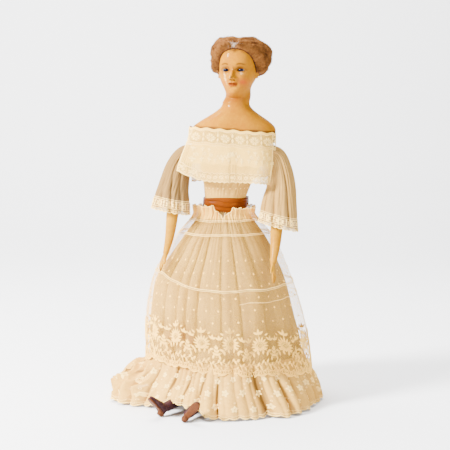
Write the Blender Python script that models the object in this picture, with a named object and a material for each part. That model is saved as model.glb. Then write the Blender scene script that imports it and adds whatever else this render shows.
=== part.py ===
"""Lady doll with a wax shoulder head, in a lace collar, a sash and a sheer overskirt.

Metres, +Z up. The doll faces -Y, so her left hand is at +X. The origin is on the floor,
under the middle of the skirt.
"""

import math

import bmesh
import bpy
import numpy as np
from mathutils import Matrix, Vector

# Air between neighbouring pieces, and how finely round forms are divided
GAP = 0.0003
SKIRT_STEPS = 40
HEAD_STEPS = 26
COLLAR_STEPS = 32
BODICE_STEPS = 21
SLEEVE_STEPS = 14
ARM_STEPS = 7

# Head and shoulder plate, one wax casting
HEAD_HEIGHT = 0.0745
CHIN_Z = 0.4180
HEAD_X = 0.010
HEAD_TURN = math.radians(16)
NECK_HALF = 0.0195
NECK_BASE_Z = 0.4085
SHOULDER_HALF_WIDTH = 0.0585
SHOULDER_HALF_DEPTH = 0.028
SHOULDER_X = 0.002
SEAT_Z = 0.3545
EYE_RADIUS = 0.0053
HEAD_ROWS = 16

# Wig
WIG_THICKNESS = 0.0075
PUFF_LEFT = 0.0135
PUFF_RIGHT = 0.0095

# Bodice and sash
WAIST_X = -0.009
WAIST_HALF_WIDTH = 0.0285
WAIST_HALF_DEPTH = 0.0225
CHEST_HALF_WIDTH = 0.047
CHEST_HALF_DEPTH = 0.0275
SASH_THICKNESS = 0.0016
SASH_HEIGHT = 0.0215

# Collar
COLLAR_THICKNESS = 0.0017
COLLAR_EASE = 0.0008
COLLAR_TOP_Z = 0.3715
COLLAR_SIDE_Z = 0.3592
COLLAR_HEM_Z = 0.3015
COLLAR_FLARE = 0.0085
COLLAR_SLANT = 0.0045
COLLAR_CORNER = 0.026
COLLAR_TUCK = 0.0065
COLLAR_SIDE_ANGLE = math.radians(26)

# Sleeves, and the forearms that come out of them
CUFF_WALL = 0.0014
SLEEVE_GATHER_HALF = 0.0085
SLEEVE_TOP_Z = 0.338
WRIST_HALF = 0.0041
FOREARM_HALF = 0.0082
PALM_LENGTH = 0.012
FINGER_LENGTH = 0.0115
FINGER_RADIUS = 0.0013

# Skirts
WAIST_Z = 0.2585
SKIRT_FULL_HALF = 0.104
SKIRT_TOP_DEPTH_SHARE = 0.80
SKIRT_HEM_DEPTH_SHARE = 1.00
PLEATS = 10
PLEAT_DEPTH = 0.0016
FLOUNCE_TOP_Z = 0.066
FLOUNCE_FLARE = 0.0135
FLOUNCE_WAVE = 0.0042
FLOUNCE_WAVES = 10
FLOUNCE_THICKNESS = 0.0015
FRONT_FULLNESS = 0.019
TRAIN_LENGTH = 0.035
TRAIN_ANGLE = math.radians(186)
NET_HEM_Z = 0.044
NET_THICKNESS = 0.0014
NET_EASE = 0.0012
NET_SIDE_EASE = 0.0065
FRILL_HEIGHT = 0.0045
FRILL_FLARE = 0.0018
TAIL_THICKNESS = 0.0011
TAIL_LENGTH = 0.077
TAIL_RISE = 0.006
KNOT_HALF = 0.0045
LOOP_HALF = 0.0072
LOOP_RIGHT = 0.024
LOOP_LEFT = 0.033
BOW_STAND = 0.0050

# Boots
SOLE_LENGTH = 0.034
SOLE_WIDTH = 0.0105
SOLE_THICKNESS = 0.0022
HEEL_HEIGHT = 0.0045
HEEL_OUT_RIGHT = 0.0467
HEEL_OUT_LEFT = 0.0538
BOOT_SHAFT_HALF = 0.0075
BOOT_SHAFT_LENGTH = 0.075


def smooth(t):
    """An S-shaped step from 0 to 1."""
    t = min(1.0, max(0.0, t))
    return t * t * (3 - 2 * t)


def bump(x, width):
    """A bell of height 1 and the given width, for one number or an array."""
    return np.exp(-((x / width) ** 2))


def through(keys, count):
    """Rows of numbers on a smooth curve through the key rows, count rows in all."""
    keys = np.array(keys, float)
    ends = np.vstack([2 * keys[0] - keys[1], keys, 2 * keys[-1] - keys[-2]])
    rows = []
    for t in np.linspace(0, len(keys) - 1, count):
        i = min(int(t), len(keys) - 2)
        u = t - i
        a, b, c, d = ends[i : i + 4]
        rows.append(
            0.5 * (2 * b + (c - a) * u + (2 * a - 5 * b + 4 * c - d) * u**2 + (3 * b - a - 3 * c + d) * u**3)
        )
    return np.array(rows)


def oval(angle, half_width, half_depth, power):
    """A point of a superellipse, with angle 0 along +X."""
    c, s = math.cos(angle), math.sin(angle)
    x = half_width * math.copysign(abs(c) ** (2 / power), c)
    y = half_depth * math.copysign(abs(s) ** (2 / power), s)
    return x, y


def material(name, colour, roughness, metallic=0.0):
    made = bpy.data.materials.new(name)
    made.use_nodes = True
    shader = made.node_tree.nodes["Principled BSDF"]
    shader.inputs["Base Color"].default_value = (*colour, 1)
    shader.inputs["Roughness"].default_value = roughness
    shader.inputs["Metallic"].default_value = metallic
    return made


def placed(name, bm, finish):
    """Turns a bmesh into a named object with its finish, shaded smooth."""
    bmesh.ops.recalc_face_normals(bm, faces=bm.faces)
    mesh = bpy.data.meshes.new(name)
    bm.to_mesh(mesh)
    bm.free()
    mesh.shade_smooth()
    mesh.set_sharp_from_angle(angle=math.radians(40))
    obj = bpy.data.objects.new(name, mesh)
    bpy.context.scene.collection.objects.link(obj)
    if finish:
        mesh.materials.append(finish)
    return obj


def skinned(bm, rings):
    """Skins rings of points with triangles that all lean the same way."""
    rows = [[bm.verts.new(p) for p in ring] for ring in rings]
    for upper, lower in zip(rows, rows[1:]):
        skinned_pair(bm, upper, lower)
    return rows


def skinned_pair(bm, upper, lower):
    steps = len(upper)
    for i in range(steps):
        j = (i + 1) % steps
        bm.faces.new((upper[i], upper[j], lower[j]))
        bm.faces.new((upper[i], lower[j], lower[i]))


def capped_body(name, rings, finish):
    """A closed body from rings, with a flat or nearly flat cap at each end."""
    bm = bmesh.new()
    rows = skinned(bm, rings)
    bm.faces.new(rows[0])
    bm.faces.new(rows[-1])
    return placed(name, bm, finish)


def hoop_body(name, outer, inner, finish):
    """A closed wall that runs all the way round, from its outer rings and its inner rings."""
    bm = bmesh.new()
    outside = skinned(bm, outer)
    inside = skinned(bm, inner)
    skinned_pair(bm, outside[0], inside[0])
    skinned_pair(bm, outside[-1], inside[-1])
    return placed(name, bm, finish)


def as_cutter(obj):
    obj.hide_render = True
    obj.display_type = "WIRE"
    return obj


def boolean(obj, other, operation):
    modifier = obj.modifiers.new(operation.lower(), "BOOLEAN")
    modifier.operation = operation
    modifier.solver = "EXACT"
    modifier.object = as_cutter(other)


# Shares of the head's height from the chin, 0, to the crown, 1: height in front, height
# behind, reach in front, reach behind, half width and squareness of each ring
HEAD_RINGS = (
    (0.998, 0.998, 0.03, 0.05, 0.028, 2.0),
    (0.975, 0.975, 0.19, 0.23, 0.174, 2.0),
    (0.90, 0.90, 0.325, 0.375, 0.277, 2.05),
    (0.80, 0.79, 0.395, 0.45, 0.334, 2.15),
    (0.69, 0.68, 0.42, 0.485, 0.355, 2.2),
    (0.59, 0.58, 0.42, 0.49, 0.357, 2.2),
    (0.50, 0.50, 0.407, 0.475, 0.353, 2.2),
    (0.41, 0.43, 0.402, 0.44, 0.346, 2.2),
    (0.32, 0.37, 0.402, 0.38, 0.336, 2.15),
    (0.23, 0.31, 0.395, 0.31, 0.318, 2.1),
    (0.14, 0.26, 0.378, 0.265, 0.288, 2.05),
    (0.06, 0.20, 0.350, 0.245, 0.252, 2.0),
    (0.00, 0.14, 0.290, 0.240, 0.238, 2.0),
    (-0.035, 0.08, 0.220, 0.250, 0.250, 2.0),
)
# Where the eyes are, in the same shares: to each side, forward and up
EYE_PLACE = (0.140, 0.292, 0.470)


def face_height(height):
    """Heights as face_relief has them, for a face with low eyes and a full chin."""
    return np.interp(height, (-1, 0, 0.070, 0.223, 0.341, 0.470, 0.557, 1, 2),
                     (-1, 0, 0.062, 0.2005, 0.340, 0.505, 0.578, 1, 2))


def face_relief(side, height):
    """How far the features stand out in front of the plain head, in shares of its height."""
    side, height = side * 1.06, face_height(height)
    wide = np.abs(side)
    out = 0.010 * bump(height - 0.60, 0.05) * bump(side, 0.24)
    out -= 0.034 * bump(wide - 0.150, 0.085) * bump(height - 0.505, 0.055)
    ridge = np.clip((0.575 - height) / 0.235, 0, 1) ** 1.15
    under = np.clip((height - 0.275) / 0.06, 0, 1)
    out += 0.128 * ridge * under * under * (3 - 2 * under) * bump(side, 0.030 + 0.030 * ridge)
    out += 0.040 * bump(wide - 0.058, 0.024) * bump(height - 0.318, 0.026)
    out += 0.014 * bump(wide - 0.21, 0.10) * bump(height - 0.33, 0.10)
    out += 0.026 * bump(height - 0.222, 0.018) * bump(side, 0.075)
    out += 0.028 * bump(height - 0.176, 0.020) * bump(side, 0.062)
    out -= 0.012 * bump(height - 0.199, 0.007) * bump(side, 0.085)
    out += 0.026 * bump(height - 0.062, 0.055) * bump(side, 0.095)
    return out


def ear_relief(forward, height):
    return 0.045 * bump(height - 0.43, 0.085) * bump(forward + 0.02, 0.055)


def head_ring(row, steps):
    """One ring of the head in its own frame: x to her left, -y in front, z up from the chin."""
    front_z, back_z, front, back, half, power = row[:6]
    points = []
    for i in range(steps):
        turn = 2 * math.pi * i / steps
        # more points in front, where the face is
        angle = turn - 0.42 * math.sin(turn)
        s, c = math.sin(angle), math.cos(angle)
        side = half * math.copysign(abs(s) ** (2 / power), s)
        forward = (front if c >= 0 else back) * math.copysign(abs(c) ** (2 / power), c)
        height = back_z + (front_z - back_z) * (forward + back) / (front + back)
        if c > 0:
            forward += face_relief(side, height) * smooth(c * 2.2)
        side += math.copysign(ear_relief(forward, height), side) * smooth(abs(s) * 3 - 2)
        points.append(Vector((side, -forward, height)) * HEAD_HEIGHT)
    return points


def swollen(points, depth):
    """Points of the head moved outwards from its middle. depth is a function of the direction."""
    middle = Vector((0, -0.01, 0.55)) * HEAD_HEIGHT
    moved = []
    for point in points:
        direction = (point - middle).normalized()
        moved.append(point + direction * depth(direction))
    return moved


def in_head_frame(point, turn=HEAD_TURN):
    """From the head's own frame to the doll's: turned towards her right."""
    return Matrix.Rotation(-turn, 3, "Z") @ point + Vector((HEAD_X, 0, CHIN_Z))


def plate_half(z):
    """Half width and half depth of the shoulder plate at a height, from its seat to the neck."""
    share = min(1.0, max(0.0, (z - SEAT_Z) / (NECK_BASE_Z - SEAT_Z)))
    reach = 1 - smooth((share - 0.30) / 0.70)
    width = NECK_HALF + (SHOULDER_HALF_WIDTH - NECK_HALF) * reach
    depth = NECK_HALF + (SHOULDER_HALF_DEPTH - NECK_HALF) * reach
    return width, depth


def plate_ring(z, steps, grow=0.0):
    width, depth = plate_half(z)
    share = smooth((z - SEAT_Z) / (NECK_BASE_Z - SEAT_Z))
    middle = SHOULDER_X + (HEAD_X - SHOULDER_X) * share * 0.6
    ring = []
    for i in range(steps):
        turn = 2 * math.pi * i / steps
        angle = turn - 0.42 * math.sin(turn) * share
        x, y = oval(angle - math.pi / 2, width + grow, depth + grow, 2.3 - 0.3 * share)
        ring.append(Vector((middle + x, y, z)))
    return ring


def head_rings(steps, rows, depth=lambda direction: 0.0, keys=HEAD_RINGS):
    rings = [swollen(head_ring(row, steps), depth) for row in through(keys, rows)]
    return [[in_head_frame(p) for p in ring] for ring in rings]


def neck_rings(steps):
    """From under the chin, turning straight as they come down to the plate."""
    rings = []
    top = head_ring(HEAD_RINGS[-1], steps)
    top_z = HEAD_HEIGHT * HEAD_RINGS[-1][0]
    for share in (0.35, 0.7):
        turn = HEAD_TURN * (1 - share)
        low = NECK_BASE_Z - CHIN_Z
        upper = [in_head_frame(p, turn) for p in top]
        lower = plate_ring(NECK_BASE_Z, steps)
        ring = []
        for a, b in zip(upper, lower):
            point = a.lerp(b, smooth(share))
            point.z = CHIN_Z + top_z + (low - top_z) * share + (a.z - CHIN_Z - top_z) * (1 - share) ** 2
            ring.append(point)
        rings.append(ring)
    return rings


def shoulder_head(finish):
    rings = head_rings(HEAD_STEPS, HEAD_ROWS)
    rings += neck_rings(HEAD_STEPS)
    drop = NECK_BASE_Z - SEAT_Z
    rings += [plate_ring(NECK_BASE_Z - drop * share, HEAD_STEPS) for share in (0, 0.12, 0.26, 0.42, 0.62, 1)]
    head = capped_body("shoulder_head", rings, finish)
    for sign in (-1, 1):
        socket = sphere(f"socket_cutter_{sign}", eye_centre(sign), EYE_RADIUS + GAP, None)
        boolean(head, socket, "DIFFERENCE")
    return head


def eye_centre(sign):
    side, forward, height = EYE_PLACE
    return in_head_frame(Vector((side * sign, -forward, height)) * HEAD_HEIGHT)


def sphere(name, centre, radius, finish, squash=(1, 1, 1)):
    bm = bmesh.new()
    bmesh.ops.create_uvsphere(bm, u_segments=10, v_segments=7, radius=radius)
    bmesh.ops.scale(bm, vec=squash, verts=bm.verts)
    bmesh.ops.translate(bm, vec=centre, verts=bm.verts)
    return placed(name, bm, finish)


def hair_depth(direction):
    """Thickness of the hair in a direction from the middle of the head, below zero on the face."""
    side, front, up = direction.x, -direction.y, direction.z
    hairline = np.interp(abs(side), (0, 0.2, 0.42, 0.6, 0.76, 0.88, 1), (0.42, 0.56, 0.68, 0.70, 0.58, 0.36, 0.04))
    behind = smooth((hairline + 0.10 - front) / 0.16) * 2 - 1
    nape = smooth((up + 0.62 - 0.25 * (front + 1) * 0.5) / 0.22) * 2 - 1
    left = math.exp(-((side - 0.86) ** 2 + (front + 0.12) ** 2 + (up - 0.20) ** 2) / 0.30)
    right = math.exp(-((side + 0.80) ** 2 + (front + 0.12) ** 2 + (up - 0.52) ** 2) / 0.22)
    full = WIG_THICKNESS * (1.0 - 0.30 * max(0.0, up) ** 3) + PUFF_LEFT * left + PUFF_RIGHT * right
    lumps = 0.0009 * math.sin(9 * side + 4 * up) * math.cos(8 * front - 5 * up)
    part = -0.0035 * bump(side, 0.16) * smooth(up * 2) * smooth(front * 2 + 0.6)
    return min(behind, nape) * (full + lumps + part) if min(behind, nape) > 0 else 0.004 * min(behind, nape)


def wig(finish):
    """A cap of hair with two puffs, cut to the head."""
    hair = capped_body("wig", head_rings(20, 12, hair_depth, HEAD_RINGS[:10]), finish)
    ease = GAP + 0.0015
    cutter = capped_body("head_cutter", head_rings(20, 13, lambda direction: ease), None)
    boolean(hair, cutter, "DIFFERENCE")
    return hair


def bodice_half(z):
    """Half width and half depth of the clothed body between the waist and the shoulder seat."""
    low, high = WAIST_Z + SASH_HEIGHT, SEAT_Z
    share = smooth((z - low) / (high - low) * 0.94 + 0.06) if z > low else 0.0
    bust = bump(z - (low + (high - low) * 0.60), 0.022) * 0.0015
    width = WAIST_HALF_WIDTH + (CHEST_HALF_WIDTH - WAIST_HALF_WIDTH) * share
    depth = WAIST_HALF_DEPTH + (CHEST_HALF_DEPTH - WAIST_HALF_DEPTH) * share + bust
    return width, depth


def bodice_middle(z):
    share = smooth((z - WAIST_Z) / (SEAT_Z - WAIST_Z))
    return WAIST_X + (SHOULDER_X - WAIST_X) * share


def bodice_ring(z, steps, grow=0.0):
    width, depth = bodice_half(z)
    ring = []
    for i in range(steps):
        x, y = oval(2 * math.pi * i / steps, width + grow, depth + grow, 2.2)
        ring.append(Vector((bodice_middle(z) + x, y, z)))
    return ring


def sash_levels():
    return [WAIST_Z + GAP + (SASH_HEIGHT - 2 * GAP) * i / 3 for i in range(4)]


def bodice_levels():
    low, high = WAIST_Z + SASH_HEIGHT, SEAT_Z - GAP
    return sash_levels() + [low + (high - low) * i / 6 for i in range(1, 7)]


def bodice(finish):
    return capped_body("bodice", [bodice_ring(z, BODICE_STEPS) for z in bodice_levels()], finish)


def sash(finish):
    """Folded ribbon round the waist."""
    levels = sash_levels()
    folds = [0.0, 0.0006, 0.0, 0.0006]
    outer = [bodice_ring(z, BODICE_STEPS, GAP + SASH_THICKNESS + fold) for z, fold in zip(levels, folds)]
    inner = [bodice_ring(z, BODICE_STEPS, GAP) for z in levels]
    return hoop_body("sash", outer, inner, finish)


def collar_hem(angle):
    """Height of the collar's lower edge: long in front and behind, short over the arms."""
    from_side = math.asin(min(1.0, abs(math.sin(angle))))
    share = smooth((from_side - COLLAR_SIDE_ANGLE) / math.radians(19) + 0.5)
    slant = COLLAR_SLANT * math.cos(angle) * (1 if math.sin(angle) < 0 else -1)
    slant -= 0.012 * math.exp(-((wrapped(angle - math.radians(208)) / math.radians(20)) ** 2))
    return COLLAR_SIDE_Z + (COLLAR_HEM_Z - slant - COLLAR_SIDE_Z) * share


def collar_point(angle, z, wall):
    """A point of the collar, which hangs from the widest part of the shoulder plate."""
    width, depth = plate_half(max(z - 0.005, SEAT_Z))
    fall = max(0.0, (COLLAR_TOP_Z - z) / (COLLAR_TOP_Z - COLLAR_HEM_Z))
    spread = COLLAR_FLARE * fall * abs(math.sin(angle))
    power = 2.7 + 1.9 * smooth(fall * 1.4)
    x, y = oval(angle, width + COLLAR_EASE + wall, depth + COLLAR_EASE + wall + spread, power)
    corner = COLLAR_CORNER * fall * math.exp(-((wrapped(angle - math.radians(208)) / math.radians(18)) ** 2))
    tuck = COLLAR_TUCK * fall * math.exp(-((wrapped(angle - math.radians(325)) / math.radians(24)) ** 2))
    return Vector((SHOULDER_X + x - corner - tuck, y - 0.25 * corner, z))


def collar(finish):
    """Wide flat collar with an open square look, lowest at her left in front."""
    rows = 5
    outer, inner = [], []
    for k in range(rows):
        for ring, wall in ((outer, COLLAR_THICKNESS), (inner, 0.0)):
            points = []
            for i in range(COLLAR_STEPS):
                angle = 2 * math.pi * (i + 0.5) / COLLAR_STEPS
                z = COLLAR_TOP_Z + (collar_hem(angle) - COLLAR_TOP_Z) * k / (rows - 1)
                points.append(collar_point(angle, z, wall))
            ring.append(points)
    return hoop_body("collar", outer, inner, finish)


# Each side's own pose: the points that the sleeve and the forearm pass through, and the
# slope of the cuff. The right arm hangs beside the skirt and the left one in front of it.
POSES = {
    "right": {
        "sign": -1,
        "sleeve": ((0.046, 0, SLEEVE_TOP_Z), (0.0605, 0.000, 0.3375), (0.0715, -0.002, 0.322),
                   (0.0775, -0.009, 0.300), (0.0815, -0.018, 0.279), (0.0835, -0.024, 0.262)),
        "sizes": ((SLEEVE_GATHER_HALF, 0.0125), (0.0135, 0.0155), (0.0165, 0.0170),
                  (0.0195, 0.0200), (0.0235, 0.0225), (0.0265, 0.0240)),
        "cuff_slope": math.radians(11),
        "arm": ((0.0805, -0.026, 0.254), (0.0838, -0.031, 0.228), (0.0890, -0.036, 0.205)),
        "fingers": (0.0985, -0.044, 0.1820),
    },
    "left": {
        "sign": 1,
        "sleeve": ((0.048, 0, SLEEVE_TOP_Z), (0.0610, 0.000, 0.336), (0.0672, -0.002, 0.319),
                   (0.0695, -0.007, 0.295), (0.0665, -0.021, 0.268), (0.0645, -0.036, 0.242)),
        "sizes": ((SLEEVE_GATHER_HALF, 0.0120), (0.0125, 0.0155), (0.0155, 0.0165),
                  (0.0190, 0.0175), (0.0240, 0.0215), (0.0275, 0.0250)),
        "cuff_slope": math.radians(-14),
        "arm": ((0.0610, -0.045, 0.236), (0.0590, -0.057, 0.215), (0.0560, -0.066, 0.196)),
        "fingers": (0.0580, -0.085, 0.168),
    },
}


def sleeve_frames(pose):
    """Middle, width axis and depth axis of each ring of a sleeve, and its two half sizes."""
    sign = pose["sign"]
    rows = through([(*p, *s) for p, s in zip(pose["sleeve"], pose["sizes"])], 9)
    points = [Vector((sign * r[0], r[1], r[2])) for r in rows]
    frames = []
    for i, (point, row) in enumerate(zip(points, rows)):
        along = (points[min(i + 1, len(points) - 1)] - points[max(i - 1, 0)]).normalized()
        width = Vector((0, 1, 0)).cross(along) * -sign
        cuff = Vector((sign * math.cos(pose["cuff_slope"]), 0, math.sin(pose["cuff_slope"])))
        share = i / (len(points) - 1)
        width = width.normalized().lerp(cuff, smooth(share * 1.4 - 0.4)).normalized()
        depth = Vector((0, 1, 0))
        frames.append((point, width, depth, row[3], row[4]))
    return frames


def sleeve_ring(frame, wall, steps, folds):
    point, width, depth, half_width, half_depth = frame
    ring = []
    for i in range(steps):
        angle = 2 * math.pi * i / steps
        fold = folds * math.cos(5 * angle + 0.6)
        x, y = oval(angle, half_width - wall + fold, half_depth - wall + fold, 2.15)
        ring.append(point + width * x + depth * y)
    return ring


def sleeve(side, finish, clear_of):
    """A bell sleeve, open at the cuff for the depth that shows, and fitted to the body."""
    frames = sleeve_frames(POSES[side])
    last = len(frames) - 1
    rings = [sleeve_ring(f, 0.0, SLEEVE_STEPS, 0.0009 * i / last) for i, f in enumerate(frames)]
    rings += [sleeve_ring(frames[last], CUFF_WALL, SLEEVE_STEPS, 0.0009),
              sleeve_ring(frames[last - 1], CUFF_WALL + 0.0008, SLEEVE_STEPS, 0.0008),
              sleeve_ring(frames[last - 2], CUFF_WALL + 0.0050, SLEEVE_STEPS, 0.0)]
    obj = capped_body(f"sleeve_{side}", rings, finish)
    for other in clear_of:
        boolean(obj, other, "DIFFERENCE")
    return obj


def arm(side, finish):
    """A forearm that ends in a slim hand with its fingers together and the thumb apart."""
    pose = POSES[side]
    sign = pose["sign"]
    first, middle, wrist = (Vector((sign * p[0], p[1], p[2])) for p in pose["arm"])
    tip = Vector((sign * pose["fingers"][0], *pose["fingers"][1:]))
    hollow, hollow_width, hollow_depth, _, _ = sleeve_frames(pose)[-3]
    outward = hollow_width.cross(hollow_depth)
    outward = -outward if outward.z > 0 else outward
    root = hollow + outward * GAP
    reach = tip - wrist
    keys = [(*root, FOREARM_HALF, FOREARM_HALF * 0.95), (*first, FOREARM_HALF, FOREARM_HALF * 0.92),
            (*middle, FOREARM_HALF * 0.80, FOREARM_HALF * 0.76), (*wrist, WRIST_HALF, WRIST_HALF * 0.85)]
    rows = list(through(keys, 7))
    hand_share = PALM_LENGTH / (PALM_LENGTH + FINGER_LENGTH)
    for share, half, thick in ((0.45, 0.0052, 0.0030), (0.9, 0.0058, 0.0026), (1.0, 0.0052, 0.0020)):
        rows.append((*(wrist + reach * hand_share * share), half, thick))
    middles = [Vector(r[:3]) for r in rows]
    rings = []
    for i, row in enumerate(rows):
        along = (middles[min(i + 1, len(rows) - 1)] - middles[max(i - 1, 0)]).normalized()
        along = outward if i == 0 else along
        across = palm_axis(sign, along)
        through_palm = along.cross(across).normalized()
        ovals = (oval(2 * math.pi * k / ARM_STEPS, row[3], row[4], 2.0) for k in range(ARM_STEPS))
        rings.append([middles[i] + across * x + through_palm * y for x, y in ovals])
    obj = capped_body(f"arm_{side}", rings, finish)
    along = reach.normalized()
    across = palm_axis(sign, along)
    for k in range(4):
        start = middles[-1] + across * ((k - 1.5) * 2.35 * FINGER_RADIUS) - along * 0.003
        length = FINGER_LENGTH * (1 - 0.09 * abs(k - 1.4))
        finger = tube(f"finger_{side}_{k}", start, start + along * (length + 0.003), FINGER_RADIUS, 6)
        boolean(obj, finger, "UNION")
    thumb_root = wrist + reach * hand_share * 0.45 + across * 0.0036
    thumb_tip = thumb_root + along * FINGER_LENGTH * 0.85 + across * 0.0035
    boolean(obj, tube(f"thumb_{side}", thumb_root, thumb_tip, FINGER_RADIUS * 1.15, 6), "UNION")
    return obj


def palm_axis(sign, along):
    """Across the palm, from the little finger to the thumb, which points ahead."""
    ahead = Vector((-sign * 0.35, -1, 0))
    return (ahead - along * ahead.dot(along)).normalized()


def tube(name, start, end, radius, steps):
    """A round finger with a blunt tip."""
    along = (end - start).normalized()
    side = along.cross(Vector((0.3, 0.2, 1))).normalized()
    other = along.cross(side)
    rings = []
    for share, size in ((0, 1.0), (0.55, 1.0), (0.9, 0.8), (1.0, 0.4)):
        middle = start.lerp(end, share)
        rings.append([middle + (side * math.cos(a) + other * math.sin(a)) * radius * size
                      for a in (2 * math.pi * k / steps for k in range(steps))])
    return capped_body(name, rings, None)


# Height over the floor as a share of the waist's, and where the underskirt's right and left
# sides are there, as shares of its full half width
SKIRT_SIDES = (
    (0.0, -1.02, 0.98),
    (0.20, -1.02, 0.97),
    (0.35, -1.02, 0.93),
    (0.50, -1.00, 0.837),
    (0.657, -0.93, 0.72),
    (0.79, -0.76, 0.572),
    (0.91, -0.60, 0.42),
    (1.0, -0.437, 0.264),
)


def skirt_levels():
    """The heights that all skirt pieces share, from the floor to the waist."""
    low = [0.0, NET_HEM_Z * 0.25, NET_HEM_Z * 0.614, NET_HEM_Z, FLOUNCE_TOP_Z]
    steps = 5
    return low + [FLOUNCE_TOP_Z + (WAIST_Z - FLOUNCE_TOP_Z) * i / steps for i in range(1, steps + 1)]


def skirt_sides(z):
    """Where the underskirt's two sides are at a height: x at her right and at her left."""
    height = z / WAIST_Z
    for low, high in zip(SKIRT_SIDES, SKIRT_SIDES[1:]):
        if height <= high[0]:
            share = (height - low[0]) / (high[0] - low[0])
            return tuple(SKIRT_FULL_HALF * (a + (b - a) * share) for a, b in zip(low[1:], high[1:]))
    return tuple(SKIRT_FULL_HALF * side for side in SKIRT_SIDES[-1][1:])


def skirt_middle(z):
    right, left = skirt_sides(z)
    return (right + left) / 2


def skirt_radius(angle, z):
    """Distance of the underskirt from its middle line, pleats included."""
    right, left = skirt_sides(z)
    half = (left - right) / 2
    full = smooth((half / SKIRT_FULL_HALF - 0.35) / 0.6)
    depth = half * (SKIRT_TOP_DEPTH_SHARE + (SKIRT_HEM_DEPTH_SHARE - SKIRT_TOP_DEPTH_SHARE) * full)
    round_it = half * depth / math.hypot(depth * math.cos(angle), half * math.sin(angle))
    wander = 0.7 * math.sin(2 * angle + 1.3) + 0.4 * math.sin(3 * angle)
    return round_it + PLEAT_DEPTH * math.cos(PLEATS * angle + wander) * (0.3 + 0.7 * full)


def skirt_point(angle, z, out):
    """A point the given distance outside the underskirt."""
    radius = skirt_radius(angle, z) + out
    return Vector((skirt_middle(z) + radius * math.cos(angle), radius * math.sin(angle), z))


def skirt_ring(z, out):
    """A ring outside the underskirt. out is a function of the angle, or one distance."""
    reach = out if callable(out) else lambda angle: out
    return [skirt_point(a, z, reach(a)) for a in (2 * math.pi * i / SKIRT_STEPS for i in range(SKIRT_STEPS))]


def hem_rise(angle):
    """How far the hem is lifted where the boots push it up."""
    return 0.0125 * math.exp(-((wrapped(angle - math.radians(238)) / math.radians(17)) ** 4))


def wrapped(angle):
    return (angle + math.pi) % (2 * math.pi) - math.pi


def flounce_out(angle, z):
    """Distance of the flounce outside the underskirt: waves, flare and the train."""
    drop = max(0.0, 1 - z / NET_HEM_Z)
    wave = math.cos(FLOUNCE_WAVES * angle + 0.8 * math.sin(2 * angle))
    train = math.exp(-((wrapped(angle - TRAIN_ANGLE) / math.radians(24)) ** 4))
    front = math.exp(-((wrapped(angle - math.radians(278)) / math.radians(48)) ** 4))
    pile = train * TRAIN_LENGTH * smooth(drop * 2) ** 0.8 + front * FRONT_FULLNESS * drop
    return GAP + FLOUNCE_THICKNESS + FLOUNCE_FLARE * drop**0.8 + FLOUNCE_WAVE * drop * (1 + wave) * 0.5 + pile


def net_out(angle, z):
    """Distance of the net's inner face outside the underskirt."""
    if z > FLOUNCE_TOP_Z + 1e-6:
        return GAP
    return flounce_out(angle, z) + GAP


def underskirt(finish):
    rings = [skirt_ring(z, 0.0) for z in skirt_levels()]
    return capped_body("underskirt", rings, finish)


def flounce(finish, clear_of):
    levels = [z for z in skirt_levels() if z <= FLOUNCE_TOP_Z + 1e-6]
    outer, inner = [], []
    for z in levels:
        lift = max(0.0, 1 - z / NET_HEM_Z)
        angles = [2 * math.pi * i / SKIRT_STEPS for i in range(SKIRT_STEPS)]
        outer.append([skirt_point(a, z + hem_rise(a) * lift, flounce_out(a, z)) for a in angles])
        inner.append([skirt_point(a, z + hem_rise(a) * lift, GAP) for a in angles])
    obj = hoop_body("flounce", outer, inner, finish)
    for other in clear_of:
        boolean(obj, other, "DIFFERENCE")
    return obj


def net_wall(angle, z):
    """Thickness of the net's solid: it stands further off at both sides."""
    side = math.cos(angle) ** 2 * NET_SIDE_EASE
    return NET_THICKNESS + (NET_EASE + side) * smooth((WAIST_Z - z) / WAIST_Z * 6)


def frill_ring(out):
    """The net above its waist seam, standing up and a little out."""
    rise = Vector((0, 0, FRILL_HEIGHT))
    return [p + rise for p in skirt_ring(WAIST_Z, out + FRILL_FLARE)]


def overskirt(finish):
    levels = [z for z in skirt_levels() if z >= NET_HEM_Z - 1e-6]
    outer = [skirt_ring(z, lambda a, z=z: net_out(a, z) + net_wall(a, z)) for z in levels]
    inner = [skirt_ring(z, lambda a, z=z: net_out(a, z)) for z in levels]
    outer.append(frill_ring(GAP + NET_THICKNESS))
    inner.append(frill_ring(GAP))
    return hoop_body("overskirt", outer, inner, finish)


def bow_tail(name, first):
    """A ribbon end that lies down the back of the net and comes up over its frill to the bow."""
    end_z = WAIST_Z - TAIL_LENGTH
    levels = [z for z in skirt_levels() if z > end_z]
    below = max(z for z in skirt_levels() if z <= end_z)
    share = (end_z - below) / (levels[0] - below)
    columns = range(first, first + 3)
    layers = []
    for out in (GAP, GAP + TAIL_THICKNESS):
        rings = [skirt_ring(z, lambda a, z=z: net_out(a, z) + net_wall(a, z) + out) for z in [below] + levels]
        rings[0] = [a.lerp(b, share) for a, b in zip(rings[0], rings[1])]
        rings.append(frill_ring(GAP + NET_THICKNESS + out))
        rings.append([p + Vector((0, -TAIL_THICKNESS, TAIL_RISE)) for p in rings[-1]])
        layers.append([[ring[i] for i in columns] for ring in rings])
    near, far = layers
    rings = [list(a) + list(reversed(b)) for a, b in zip(near, far)]
    bm = bmesh.new()
    rows = [[bm.verts.new(p) for p in ring] for ring in rings]
    wide = len(columns)
    for upper, lower in zip(rows, rows[1:]):
        for i in range(2 * wide):
            j = (i + 1) % (2 * wide)
            if i < wide - 1:
                halves = ((upper[i], upper[j], lower[j]), (upper[i], lower[j], lower[i]))
            else:
                halves = ((upper[i], upper[j], lower[i]), (upper[j], lower[j], lower[i]))
            for half in halves:
                bm.faces.new(half)
    bm.faces.new(rows[0])
    bm.faces.new(rows[-1])
    return placed(name, bm, None)


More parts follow.
